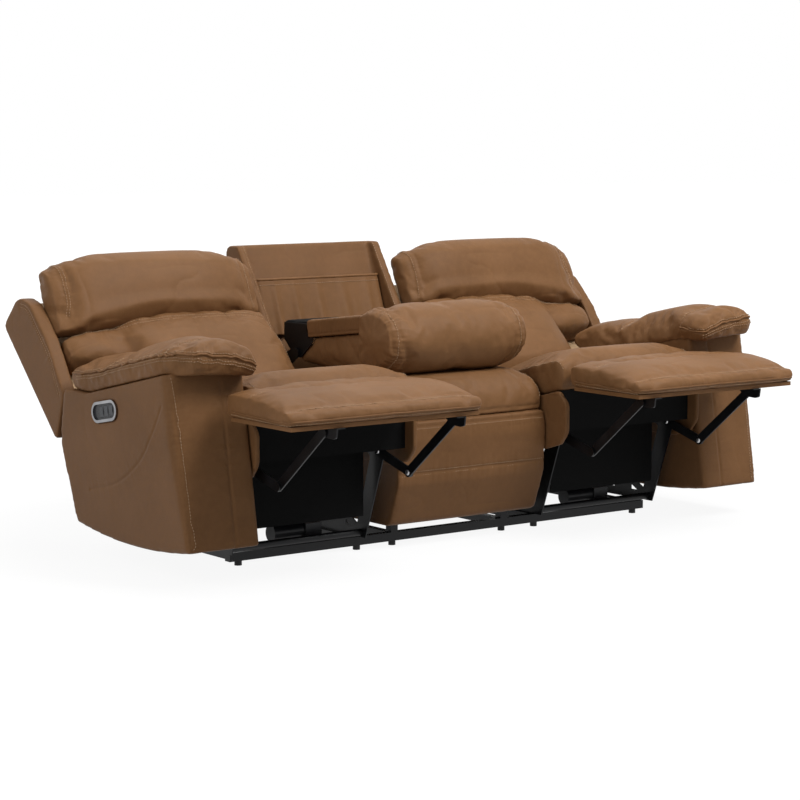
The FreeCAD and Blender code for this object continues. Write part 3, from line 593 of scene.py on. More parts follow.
# Sewing
@dataclass
class Seam:
    """One sewn line.

    Its points are given in millimetres from the arm fronts and laid on the nearest leather.
    """

    points: list[Point]
    kind: SeamKind = SeamKind.TOPSTITCH
    groove: float = 2.2
    spread: float = 6.0
    pucker: float = 0.9
    welt: float = 3.0
    gap: float = 6.0
    path: np.ndarray = field(default_factory=lambda: np.zeros((0, 3)))
    out: np.ndarray = field(default_factory=lambda: np.zeros((0, 3)))

    def line(self, step: float = 0.003) -> np.ndarray:
        """The seam as a smooth line through its points.

        Args:
            step: distance between points in metres.

        Returns:
            Points in the row frame.
        """
        p = np.array([at(*q) for q in self.points])
        p = np.vstack((2 * p[0] - p[1], p, 2 * p[-1] - p[-2]))
        rows = []
        for i in range(1, len(p) - 2):
            count = max(2, int(np.linalg.norm(p[i + 1] - p[i]) / step))
            t = np.linspace(0, 1, count, endpoint=False)[:, None]
            rows.append(0.5 * (2 * p[i] + (p[i + 1] - p[i - 1]) * t
                               + (2 * p[i - 1] - 5 * p[i] + 4 * p[i + 1] - p[i + 2]) * t ** 2
                               + (3 * p[i] - p[i - 1] - 3 * p[i + 1] + p[i + 2]) * t ** 3))
        rows.append(p[-2][None, :])
        return np.vstack(rows)

    def lay(self, surface: BVHTree) -> None:
        """Lay the seam on a surface.

        Args:
            surface: the leather, as made by surface_of.
        """
        path, out = [], []
        for point in self.line():
            hit, normal, _, _ = surface.find_nearest(Vector(point))
            if hit is not None:
                path.append(hit)
                out.append(normal)
        path_array, out_array = np.array(path), np.array(out)
        for _ in range(6):
            path_array[1:-1] = 0.25 * path_array[:-2] + 0.5 * path_array[1:-1] + 0.25 * path_array[2:]
            out_array[1:-1] = 0.25 * out_array[:-2] + 0.5 * out_array[1:-1] + 0.25 * out_array[2:]
        out_array /= np.linalg.norm(out_array, axis=1)[:, None]
        self.path, self.out = path_array, out_array

    def distance(self, co: np.ndarray) -> tuple[np.ndarray, np.ndarray]:
        """Distance of points to the seam and the nearest seam point.

        Args:
            co: the points.

        Returns:
            Distances in metres, and indices along the seam.
        """
        low, high = self.path.min(0) - 0.05, self.path.max(0) + 0.05
        near = np.nonzero(np.all((co > low) & (co < high), axis=1))[0]
        distance = np.full(len(co), 9.0)
        index = np.zeros(len(co), int)
        path = self.path.astype(np.float32)
        for part in np.array_split(near, len(near) // 4000 + 1):
            here = co[part].astype(np.float32)
            square = (here ** 2).sum(1)[:, None] + (path ** 2).sum(1)[None, :] - 2 * here @ path.T
            index[part] = square.argmin(1)
            distance[part] = np.linalg.norm(co[part] - self.path[index[part]], axis=1)
        return distance, index

    def sink(self, co: np.ndarray, out: np.ndarray, seed: int) -> np.ndarray:
        """Draw the leather down at the seam and pucker it beside the seam.

        Args:
            co: the points of the leather.
            out: their normals.
            seed: picks the puckers.

        Returns:
            How far each point moves.
        """
        distance, index = self.distance(co)
        groove = -self.groove * MM * np.exp(-((distance / (self.spread * MM)) ** 2))
        beat = lattice_noise(index[:, None] * np.array([[0.003, 0.0, 0.0]]) + 0.5, (62.0, 1, 1), seed)
        fine = lattice_noise(index[:, None] * np.array([[0.003, 0.0, 0.0]]) + 0.5, (150.0, 1, 1), seed + 5)
        near = np.exp(-distance / 0.019) * (1 - np.exp(-((distance / 0.005) ** 2)))
        return (groove + self.pucker * MM * near * (1.5 * (beat - 0.5) + (fine - 0.5)) * 2)[:, None] * out

    def side(self) -> np.ndarray:
        """Directions across the seam, along the leather."""
        run = np.gradient(self.path, axis=0)
        run /= np.maximum(np.linalg.norm(run, axis=1), 1e-9)[:, None]
        across = np.cross(run, self.out)
        return across / np.maximum(np.linalg.norm(across, axis=1), 1e-9)[:, None]


def surface_of(mesh: bpy.types.Mesh) -> BVHTree:
    """A mesh as a surface that seams can be laid on."""
    return BVHTree.FromPolygons([v.co for v in mesh.vertices], [p.vertices for p in mesh.polygons])


def ring_faces(rings: int, sides: int) -> list[list[int]]:
    """Faces that join rings of points one after another.

    Args:
        rings: number of rings.
        sides: points of one ring.

    Returns:
        The faces.
    """
    return [[r * sides + k, r * sides + (k + 1) % sides, (r + 1) * sides + (k + 1) % sides,
             (r + 1) * sides + k]
            for r in range(rings - 1) for k in range(sides)]


def tube(path: np.ndarray, out: np.ndarray, radius: float, sides: int = 8) -> tuple[np.ndarray, np.ndarray]:
    """Points and faces of a round cord along a line.

    Args:
        path: the line.
        out: normals along the line.
        radius: radius in metres.
        sides: number of sides.

    Returns:
        Points and faces.
    """
    run = np.gradient(path, axis=0)
    run /= np.maximum(np.linalg.norm(run, axis=1), 1e-9)[:, None]
    across = np.cross(run, out)
    across /= np.maximum(np.linalg.norm(across, axis=1), 1e-9)[:, None]
    up = np.cross(across, run)
    rings = []
    for k in range(sides):
        angle = 2 * math.pi * k / sides
        rings.append(path + radius * (math.cos(angle) * across + math.sin(angle) * up))
    verts = np.stack(rings, axis=1).reshape(-1, 3)
    count = len(path)
    faces = ring_faces(count, sides)
    faces.append(list(range(sides))[::-1])
    faces.append([(count - 1) * sides + k for k in range(sides)])
    return verts, faces


def stitches(path: np.ndarray, out: np.ndarray, length: float = 0.0062, pitch: float = 0.0088,
             radius: float = 0.00095) -> tuple[np.ndarray, list]:
    """Points and faces of a row of short threads along a line.

    Args:
        path: the line.
        out: normals along the line.
        length: length of a stitch.
        pitch: distance from one stitch to the next.
        radius: radius of the thread.

    Returns:
        Points and faces.
    """
    steps = np.linalg.norm(np.diff(path, axis=0), axis=1)
    run = np.concatenate(([0.0], np.cumsum(steps)))
    starts = np.arange(pitch / 2, run[-1] - length, pitch)
    if len(starts) == 0:
        return np.zeros((0, 3)), []
    profile = ((0.0, 0.35, -0.2), (0.22, 1.0, 0.7), (0.5, 1.0, 1.0), (0.78, 1.0, 0.7), (1.0, 0.35, -0.2))
    sides = 5
    faces = []

    def sample(values: np.ndarray, places: np.ndarray) -> np.ndarray:
        """Values of a field along the line."""
        return np.stack([np.interp(places, run, values[:, axis]) for axis in range(3)], axis=1)

    rings = []
    for share, size, lift in profile:
        places = starts + share * length
        centre = sample(path, places)
        normal = sample(out, places)
        normal /= np.linalg.norm(normal, axis=1)[:, None]
        direction = sample(path, places + 0.001) - sample(path, places - 0.001)
        direction /= np.maximum(np.linalg.norm(direction, axis=1), 1e-9)[:, None]
        across = np.cross(direction, normal)
        across /= np.maximum(np.linalg.norm(across, axis=1), 1e-9)[:, None]
        centre = centre + normal * radius * lift
        ring = [centre + size * radius * (math.cos(2 * math.pi * k / sides) * across
                                          + math.sin(2 * math.pi * k / sides) * normal) for k in range(sides)]
        rings.append(np.stack(ring, axis=1))
    block = np.stack(rings, axis=1)
    per = len(profile) * sides
    verts = block.reshape(-1, 3)
    template = ring_faces(len(profile), sides)
    template += [list(range(sides))[::-1], [per - sides + k for k in range(sides)]]
    for s in range(len(starts)):
        faces += [[s * per + i for i in face] for face in template]
    return verts, faces


@dataclass
class Collector:
    """Gathers the points and faces of several small forms into one mesh."""

    verts: list[np.ndarray] = field(default_factory=list)
    faces: list = field(default_factory=list)
    count: int = 0

    def add(self, verts: np.ndarray, faces: list) -> None:
        """Add one form."""
        if len(verts) == 0:
            return
        self.verts.append(verts)
        self.faces += [[i + self.count for i in face] for face in faces]
        self.count += len(verts)

    def mesh(self, name: str) -> bpy.types.Mesh | None:
        """All the forms as one mesh, or nothing if there are none."""
        return mesh_of(name, np.vstack(self.verts), self.faces) if self.verts else None


# Leather pieces
@dataclass
class Filling:
    """How a padded piece is filled.

    Sizes are in metres. The held directions are those in which the piece rests on something.
    """

    voxel: float = 0.0075
    inset: float = 0.006
    pressure: float = 4.0
    ease: float = 0.03
    cap: float = 0.022
    bend: float = 0.5
    held: tuple[Point, ...] = ()
    pin: float = 0.006
    rounds: int = 3
    frames: int = 14
    weight: float = 0.3
    stretch: float = 20.0
    shear: float = 8.0
    facing: float = 0.75


@dataclass
class Leather:
    """One leather piece: its mesh, its seams and what stands on them."""

    name: str
    node: str
    body: str
    finish: Finish = Finish.LEATHER
    filling: Filling | None = None
    seams: list[Seam] = field(default_factory=list)
    shape: Callable[[np.ndarray, np.ndarray], np.ndarray] | None = None
    creases: float = 1.6
    crease_scale: tuple[float, float, float] = (9.0, 16.0, 16.0)
    voxel: float = 0.006
    soften: int = 4
    padded: float | None = 0.7
    seed: int = 1
    outer: bool = False

    def cut(self, bench: "Bench") -> bpy.types.Object:
        """The piece's own surface, from the space that its solid holds.

        Args:
            bench: the frame and finishes.

        Returns:
            The new object.
        """
        mesh = bench.node(self.node).data.copy()
        mesh.materials.clear()
        mesh.name = self.name
        if self.outer:
            keep_outer(mesh)
        obj = new_object(self.name, mesh)
        voxel = self.filling.voxel if self.filling else self.voxel
        remesh(obj, voxel)
        relax(obj.data, self.soften)
        if self.shape is not None:
            set_coordinates(obj.data, self.shape(coordinates(obj.data), normals(obj.data)))
        return obj

    def fill(self, obj: bpy.types.Object, quick: bool) -> None:
        """Blow the piece up like a filled cushion, held at its seams and where it rests.

        Args:
            obj: the piece.
            quick: leave the simulation out.
        """
        how = self.filling
        if how is None:
            return
        mesh = obj.data
        start, out = coordinates(mesh), normals(mesh)
        held = np.zeros(len(start), bool)
        for direction in how.held:
            held |= out @ np.asarray(direction, float) > how.facing
        if quick:
            return
        surface = surface_of(mesh)
        for seam in self.seams:
            if seam.kind is not SeamKind.CREASE:
                seam.lay(surface)
                held |= seam.distance(start)[0] < how.pin
        inner = start - out * how.inset * (~held)[:, None]
        set_coordinates(mesh, inner)
        group = obj.vertex_groups.new(name="held")
        group.add([int(i) for i in np.nonzero(held)[0]], 1.0, "REPLACE")
        cloth = obj.modifiers.new("cloth", "CLOTH")
        settings = cloth.settings
        settings.quality = 3
        settings.mass = how.weight
        settings.tension_stiffness = settings.compression_stiffness = how.stretch
        settings.shear_stiffness = how.shear
        settings.bending_stiffness = how.bend
        settings.use_pressure = True
        settings.uniform_pressure_force = how.pressure
        settings.effector_weights.gravity = 0.0
        settings.vertex_group_mass = "held"
        settings.shrink_min = -how.ease
        cloth.collision_settings.use_collision = False
        cloth.point_cache.frame_start, cloth.point_cache.frame_end = 1, how.frames
        for frame in range(1, how.frames + 1):
            bpy.context.scene.frame_set(frame)
        graph = bpy.context.evaluated_depsgraph_get()
        blown = coordinates(obj.evaluated_get(graph).data)
        obj.modifiers.clear()
        obj.vertex_groups.clear()
        bpy.context.scene.frame_set(1)
        move = blown - inner
        size = np.linalg.norm(move, axis=1)
        move *= np.minimum(1.0, how.cap / np.maximum(size, 1e-9))[:, None]
        set_coordinates(mesh, inner + move)
        relax(mesh, how.rounds, 0.4)

    def sew(self, obj: bpy.types.Object) -> tuple[bpy.types.Mesh | None, bpy.types.Mesh | None]:
        """Draw the seams into the leather and make their threads and welts.

        Args:
            obj: the piece.

        Returns:
            The mesh of the threads and the mesh of the welts, where there are any.
        """
        mesh = obj.data
        co, out = coordinates(mesh), normals(mesh)
        ridge = 1 - np.abs(2 * lattice_noise(co, self.crease_scale, self.seed) - 1)
        broad = lattice_noise(co, (5.0, 5.0, 5.0), self.seed + 3)
        fine = lattice_noise(co, tuple(2.6 * s for s in self.crease_scale), self.seed + 7)
        sag = -self.creases * MM * (ridge ** 9) * np.clip(2.2 * broad - 0.6, 0, 1)
        sag += self.creases * MM * (0.8 * (broad - 0.5) + 0.22 * (fine - 0.5))
        move = sag[:, None] * out
        surface = surface_of(mesh)
        for i, seam in enumerate(self.seams):
            seam.lay(surface)
            move += seam.sink(co, out, self.seed + 11 * i)
        set_coordinates(mesh, co + move)
        threads, welts = Collector(), Collector()
        surface = surface_of(mesh)
        for seam in self.seams:
            seam.lay(surface)
            across = seam.side()
            if seam.kind is SeamKind.TOPSTITCH:
                threads.add(*stitches(seam.path + across * seam.gap * MM, seam.out))
            elif seam.kind is SeamKind.DOUBLE:
                for sign in (-1, 1):
                    threads.add(*stitches(seam.path + sign * across * seam.gap * MM, seam.out))
            elif seam.kind is SeamKind.WELT:
                welts.add(*tube(seam.path + seam.out * 0.4 * seam.welt * MM, seam.out, seam.welt * MM))
                threads.add(*stitches(seam.path + across * (seam.gap + seam.welt) * MM, seam.out))
        return threads.mesh(self.name + "_thread"), welts.mesh(self.name + "_welt")

    def make(self, bench: "Bench", sides: Sequence[Side] = ()) -> None:
        """Build the piece, and its mirror image where both sides are asked for.

        Args:
            bench: the frame and finishes.
            sides: both sides for a piece that is drawn for the right, none for a middle piece.
        """
        obj = self.cut(bench)
        self.fill(obj, bench.quick)
        subdivide(obj)
        threads, welts = self.sew(obj)
        smooth_shading(obj.data)
        meshes = [(obj.data, self.finish, ""), (threads, Finish.THREAD, "_thread"),
                  (welts, self.finish, "_welt")]
        bpy.data.objects.remove(obj)
        for side in sides or (None,):
            prefix = side.name.lower() + "_" if side else ""
            main = None
            for mesh, finish, tail in meshes:
                if mesh is None:
                    continue
                name = prefix + self.name + tail
                own = mirror_mesh(mesh, name) if side is Side.LEFT else mesh.copy()
                piece = new_object(name + "_dressed", own)
                bench.dress(piece, finish, prefix + self.body if side and self.body != "frame" else self.body)
                if main is None:
                    main = piece
                    node = self.node.replace("right_", prefix) if side else self.node
                    if node.startswith(prefix):
                        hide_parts(node)
            LOG.info("%s%s: %d points", prefix, self.name, len(main.data.vertices))


@dataclass
class Bench:
    """What every sub-assembly works with: the frame, the finishes and the speed."""

    frame: dict
    finishes: dict[Finish, bpy.types.Material]
    quick: bool = False

    def node(self, name: str) -> bpy.types.Object:
        """A node of the frame."""
        return self.frame["nodes"][name]

    def dress(self, obj: bpy.types.Object, finish: Finish, body: str) -> bpy.types.Object:
        """Give a piece its finish and the body that carries it.

        Args:
            obj: the piece.
            finish: its finish.
            body: the body.

        Returns:
            The piece.
        """
        obj.data.materials.clear()
        obj.data.materials.append(self.finishes[finish])
        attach(obj, body)
        return obj

    def paint(self, name: str, finish: Finish) -> None:
        """Give a carried-over node its finish."""
        node = self.node(name)
        node.data.materials.clear()
        node.data.materials.append(self.finishes[finish])
        for polygon in node.data.polygons:
            polygon.material_index = 0


BOTH = (Side.RIGHT, Side.LEFT)


@dataclass
class Arms:
    """The two arms: covers, pads and control panels."""

    outer: float = 1099.5
    inner: float = 850.0
    nose_from: float = 110.0
    nose_length: float = 170.0
    nose_narrow: float = 34.0
    nose_short: float = 0.42
    nose_droop: float = 16.0
    panel: tuple[float, float] = (365.0, 454.0)
    panel_face: tuple[float, float] = (124.0, 44.0)
    panel_tilt: float = math.radians(10.0)

    def nose(self, co: np.ndarray, _: np.ndarray) -> np.ndarray:
        """Draw the pad's nose in: shorter, narrower at its outer side, and lower at its inner side.

        Args:
            co: points of the pad.
            _: their normals.

        Returns:
            The moved points.
        """
        moved = co.copy()
        depth = co[:, 1] / MM - ARM_FRONT_MM
        front = np.clip((self.nose_from - depth) / self.nose_length, 0, 1)
        front = front * front * (3 - 2 * front)
        across = np.clip((co[:, 0] / MM - self.inner) / 250, 0, 1)
        moved[:, 0] -= self.nose_narrow * MM * front * across ** 2
        moved[:, 1] -= np.minimum(depth, 0) * self.nose_short * MM
        moved[:, 2] -= self.nose_droop * MM * front * (1 - across) ** 1.5
        return moved

    def pad_seams(self) -> list[Seam]:
        """Welts and stitched lines of the pad."""
        edge = [(self.outer - 4, 575, 548), (self.outer + 2, 540, 552), (self.outer + 4, 440, 566),
                (self.outer + 4, 329, 590), (self.outer + 4, 129, 630), (self.outer + 2, 40, 648),
                (self.outer - 16, -60, 652), (1060, -82, 650), (990, -86, 640), (920, -84, 626),
                (870, -70, 610), (848, -30, 604), (846, 60, 612)]
        return [
            Seam(edge, SeamKind.WELT, groove=3.0, spread=7.0, pucker=2.2, gap=5.0),
            Seam([(x, d, h - 17) for x, d, h in edge[1:-1]], SeamKind.DOUBLE, groove=1.0, pucker=1.4,
                 gap=4.0),
            Seam([(1098, 52, 640), (1080, 50, 672), (1040, 48, 690), (975, 46, 695), (910, 48, 690),
                  (862, 52, 668),
                  (846, 56, 636)], SeamKind.TOPSTITCH, groove=1.6, pucker=1.8),
            Seam([(1102, 350, 585), (1080, 350, 628), (1040, 350, 645), (975, 350, 650), (910, 350, 644),
                  (862, 350, 622), (846, 350, 588)], SeamKind.TOPSTITCH, groove=1.2, pucker=0.6),
        ]

    def cover_seams(self) -> list[Seam]:
        """Stitched lines of the cover."""
        side = self.outer
        return [
            Seam([(side - 6, 34, 590), (side - 8, 8, 500), (side - 12, -16, 400), (side - 18, -40, 280),
                  (side - 24, -66, 150), (side - 26, -78, 108)], SeamKind.TOPSTITCH, groove=1.4, pucker=1.2,
                 gap=7.0),
            Seam([(side, 57, 497), (side, 108, 416), (side, 184, 331), (side, 313, 255),
                  (side - 5, 471, 216)],
                 SeamKind.CREASE, groove=2.0, spread=4.0, pucker=0.5),
            Seam([(930, 22, 560), (930, -4, 440), (930, -34, 300), (930, -62, 150), (930, -74, 100)],
                 SeamKind.CREASE, groove=2.6, spread=5.0, pucker=1.4),
        ]

    def make(self, bench: Bench) -> None:
        """Build both arms."""
        Leather("arm_pad", "right_arm_pad", "frame",
                filling=Filling(cap=0.020, inset=0.005, ease=0.05, held=((0, 0, -1),)),
                seams=self.pad_seams(),
                shape=self.nose, creases=2.4, crease_scale=(12, 7, 12), padded=0.7, seed=2).make(bench, BOTH)
        Leather("arm_cover", "right_arm_cover", "frame", Finish.LEATHER_COVER, seams=self.cover_seams(),
                creases=1.0, crease_scale=(8, 8, 4), soften=5, padded=None, seed=3, outer=True).make(bench,
                                                                                                     BOTH)
        for side in BOTH:
            prefix = side.name.lower()
            for name in ("rear_rocker", "middle_rocker", "front_rocker"):
                bench.paint(f"{prefix}_{name}", Finish.ROCKER)
        self.paint_panels(bench)

    def paint_panels(self, bench: Bench) -> None:
        """Chrome for the rims and black for the faces of the control panels.

        Args:
            bench: the frame and finishes.
        """
        bench.paint("control_panels", Finish.PANEL)
        mesh = bench.node("control_panels").data
        mesh.materials.append(bench.finishes[Finish.PANEL_FACE])
        centre = at(0, *self.panel)
        length, width = (0.5 * size * MM for size in self.panel_face)
        for polygon in mesh.polygons:
            y, z = polygon.center[1] - centre[1], polygon.center[2] - centre[2]
            along = y * math.cos(self.panel_tilt) - z * math.sin(self.panel_tilt)
            up = y * math.sin(self.panel_tilt) + z * math.cos(self.panel_tilt)
            beyond = max(0.0, abs(along) - (length - width))
            polygon.material_index = int(math.hypot(beyond, up) < width - 0.8 * MM)


@dataclass
class Seats:
    """The two end seats with their footrests."""

    inner: float = 286.5
    outer: float = 848.0
    footrest_outer: float = 955.0

    def seat_seams(self) -> list[Seam]:
        """Boxing lines and the cross seam of the seat cushion."""
        def top(depth: float) -> float:
            """Height of the seat's top edge at a depth."""
            return 548 - 0.21 * (depth - 10)
        seams = [Seam([(x, 420, top(420)), (x, 250, top(250)), (x, 100, top(100)), (x, 20, top(20)),
                       (x, -14, 520)],
                      SeamKind.TOPSTITCH, pucker=1.4) for x in (self.inner + 12, self.outer - 12)]
        seams.append(Seam([(self.inner + 6, 120, 545), (400, 122, 552), (567, 124, 554), (740, 122, 552),
                           (self.outer - 6, 120, 545)], SeamKind.CREASE, groove=3.5, spread=12, pucker=1.8))
        return seams

    def footrest_seams(self) -> list[Seam]:
        """Front welt and the long stitched lines of the footrest."""
        lo, hi = self.inner, self.footrest_outer
        return [
            Seam([(lo + 4, -60, 484), (lo + 6, -200, 482), (lo + 16, -330, 480), (lo + 40, -352, 480),
                  (480, -360, 481), (620, -360, 481), (760, -360, 481), (hi - 40, -352, 480),
                  (hi - 16, -330, 480),
                  (hi - 6, -200, 482), (hi - 4, -60, 484)], SeamKind.WELT, groove=2.2, pucker=1.2, welt=2.4),
            Seam([(lo + 12, -138, 534), (450, -140, 546), (620, -141, 547), (800, -140, 546),
                  (hi - 12, -138, 534)],
                 SeamKind.TOPSTITCH, groove=2.4, spread=9, pucker=1.4),
            Seam([(lo + 12, -320, 518), (450, -328, 522), (620, -329, 522), (800, -328, 522),
                  (hi - 12, -320, 518)],
                 SeamKind.TOPSTITCH, groove=1.8, spread=8, pucker=1.2),
        ]

    def make(self, bench: Bench) -> None:
        """Build both seats and footrests."""
        Leather("seat_cushion", "right_seat_cushion", "frame", filling=Filling(cap=0.024, ease=0.03,
                held=((0, 0.2, -1), (0, 1, 0))), seams=self.seat_seams(), creases=2.2,
                crease_scale=(6, 12, 12),
                padded=0.75, seed=5).make(bench, BOTH)
        Leather("footrest_pad", "right_footrest_pad", "footrest",
                filling=Filling(cap=0.014, inset=0.005, ease=0.02,
                held=((0, 0, -1), (0, 1, 0))), seams=self.footrest_seams(), creases=1.4,
                crease_scale=(4, 14, 14),
                padded=0.7, seed=6).make(bench, BOTH)
        Leather("side_panels", "seat_side_panels", "frame", Finish.LEATHER_COVER, seams=[], creases=1.2,
                voxel=0.005, soften=3, padded=None, seed=8).make(bench)
        bench.paint("seat_decks", Finish.DUST_CLOTH)
        bench.paint("dust_curtains", Finish.DUST_CLOTH)
        for side in BOTH:
            prefix = side.name.lower()
            bench.paint(f"{prefix}_footrest_board", Finish.DUST_CLOTH)
            board = bench.node(f"{prefix}_footrest_board").data
            board.materials.append(bench.finishes[Finish.LEATHER])
            for polygon in board.polygons:
                polygon.material_index = int(polygon.normal[2] > -0.5)
            for name in ("footrest_brackets", "front_links", "rear_links", "actuator_slider"):
                bench.paint(f"{prefix}_{name}", Finish.STEEL)


@dataclass
class Backs:
    """The two reclining backs with their headrests."""

    hinge: tuple[float, float] = (625.0, 395.0)
    lean: float = math.radians(45.0)
    inner: float = 300.5
    wing: float = 1080.0
    drop_from: float = 640.0
    drop: float = 36.0

    def along(self, x: float, u: float, v: float) -> Point:
        """A point of the back.

        Args:
            x: width.
            u: distance up along the back from its hinge.
            v: distance out towards the sitter.

        Returns:
            Width, depth and height.
        """
        return (x, self.hinge[0] + u * math.sin(self.lean) - v * math.cos(self.lean),
                self.hinge[1] + u * math.cos(self.lean) + v * math.sin(self.lean))

    def meet(self, low: float, high: float, rise: float, swell: float, top: float,
             foot: float) -> Callable[[np.ndarray, np.ndarray], np.ndarray]:
        """A shape that draws the front edge of a cushion towards the one beside it.

        The seam between them drops towards the arm.

        Args:
            low: distance up along the back where the edge begins.
            high: distance where it ends.
            rise: how far the edge moves up along the back, in millimetres.
            swell: how far it moves out, in millimetres.
            top: distance up along the back where the drop begins.
            foot: distance where the drop is full.

        Returns:
            The shape.
        """
        up = np.array((0.0, math.sin(self.lean), math.cos(self.lean)))
        forth = np.array((0.0, -math.cos(self.lean), math.sin(self.lean)))
        origin = at(0, *self.hinge)

        def shape(co: np.ndarray, _: np.ndarray) -> np.ndarray:
            """The moved points."""
            u, v = (co - origin) @ up / MM, (co - origin) @ forth / MM
            edge = np.clip((u - low) / (high - low), 0, 1)
            front = np.clip((v - 50) / 60, 0, 1)
            share = (edge * edge * (3 - 2 * edge) * front)[:, None] * MM
            outer = np.clip((co[:, 0] / MM - self.drop_from) / (self.wing - self.drop_from), 0, 1)
            down = outer * outer * (3 - 2 * outer) * np.clip((u - top) / (foot - top), 0, 1)
            return co + share * (rise * up + swell * forth) - self.drop * MM * down[:, None] * up
        return shape

    def lumbar_seams(self) -> list[Seam]:
        """The double-stitched line along the top of the lumbar cushion, and the line down its inner end."""
        top = [self.along(x, u, v)
               for x, u, v in ((312, 258, 106), (420, 262, 130), (567, 262, 134), (720, 262, 130),
                                                   (815, 260, 112), (880, 260, 106), (1000, 258, 98))]
        inner = [self.along(self.inner + 14, u, v)
                 for u, v in ((250, 110), (150, 118), (40, 112), (-30, 100))]
        return [Seam(top, SeamKind.DOUBLE, groove=2.6, spread=8, pucker=2.2, gap=6.0),
                Seam(inner, SeamKind.TOPSTITCH, pucker=1.4)]

    def headrest_seams(self) -> list[Seam]:
        """The boxing line down the outer end and along the inner end of the headrest."""
        def end(x: float, drop: float) -> list[Point]:
            """One end line from the rear of the crest down to the foot."""
            return [self.along(x, u - drop * share, v) for u, v, share in
                    ((510, 92, 1.0), (502, 130, 0.9), (462, 168, 0.6), (400, 165, 0.2), (345, 138, 0),
                     (305, 104, 0))]
        return [Seam(end(985, 10), SeamKind.DOUBLE, groove=1.8, pucker=1.6, gap=4.5),
                Seam(end(335, 10), SeamKind.TOPSTITCH, groove=1.6, pucker=1.4)]

    def shell_seams(self) -> list[Seam]:
        """The double-stitched line beside the front edge of the wing."""
        return [Seam([self.along(self.wing, u, v)
                      for u, v in ((430, 32), (386, 62), (300, 64), (200, 62), (140, 42),
                                                                (80, 22))],
                     SeamKind.DOUBLE, groove=1.2, pucker=1.2, gap=5.0)]

    def make(self, bench: Bench) -> None:
        """Build both backs."""
        Leather("lumbar_cushion", "right_lumbar_cushion", "back", filling=Filling(cap=0.016, ease=0.03,
                held=(tuple(np.array((0, math.cos(self.lean), -math.sin(self.lean)))),)),
                seams=self.lumbar_seams(),
                shape=self.meet(230, 275, 10, 8, 170, 260), creases=2.2, crease_scale=(7, 14, 14),
                padded=0.75,
                seed=9).make(bench, BOTH)
        Leather("headrest_cushion", "right_headrest_cushion", "headrest",
                filling=Filling(cap=0.014, ease=0.03),
                seams=self.headrest_seams(), shape=self.meet(350, 302, -16, 6, 450, 320), creases=1.8,
                crease_scale=(7, 12, 12), padded=0.85, seed=10).make(bench, BOTH)
        Leather("back_shell", "right_back_shell", "back", Finish.LEATHER_COVER, seams=self.shell_seams(),
                creases=1.0, voxel=0.005, soften=4, padded=None, seed=12).make(bench, BOTH)
        for side in BOTH:
            prefix = side.name.lower()
            bench.paint(f"{prefix}_back_board", Finish.WOOD)
            bench.paint(f"{prefix}_back_hardware", Finish.STEEL)
            bench.paint(f"{prefix}_headrest_arms", Finish.PIN_STEEL)


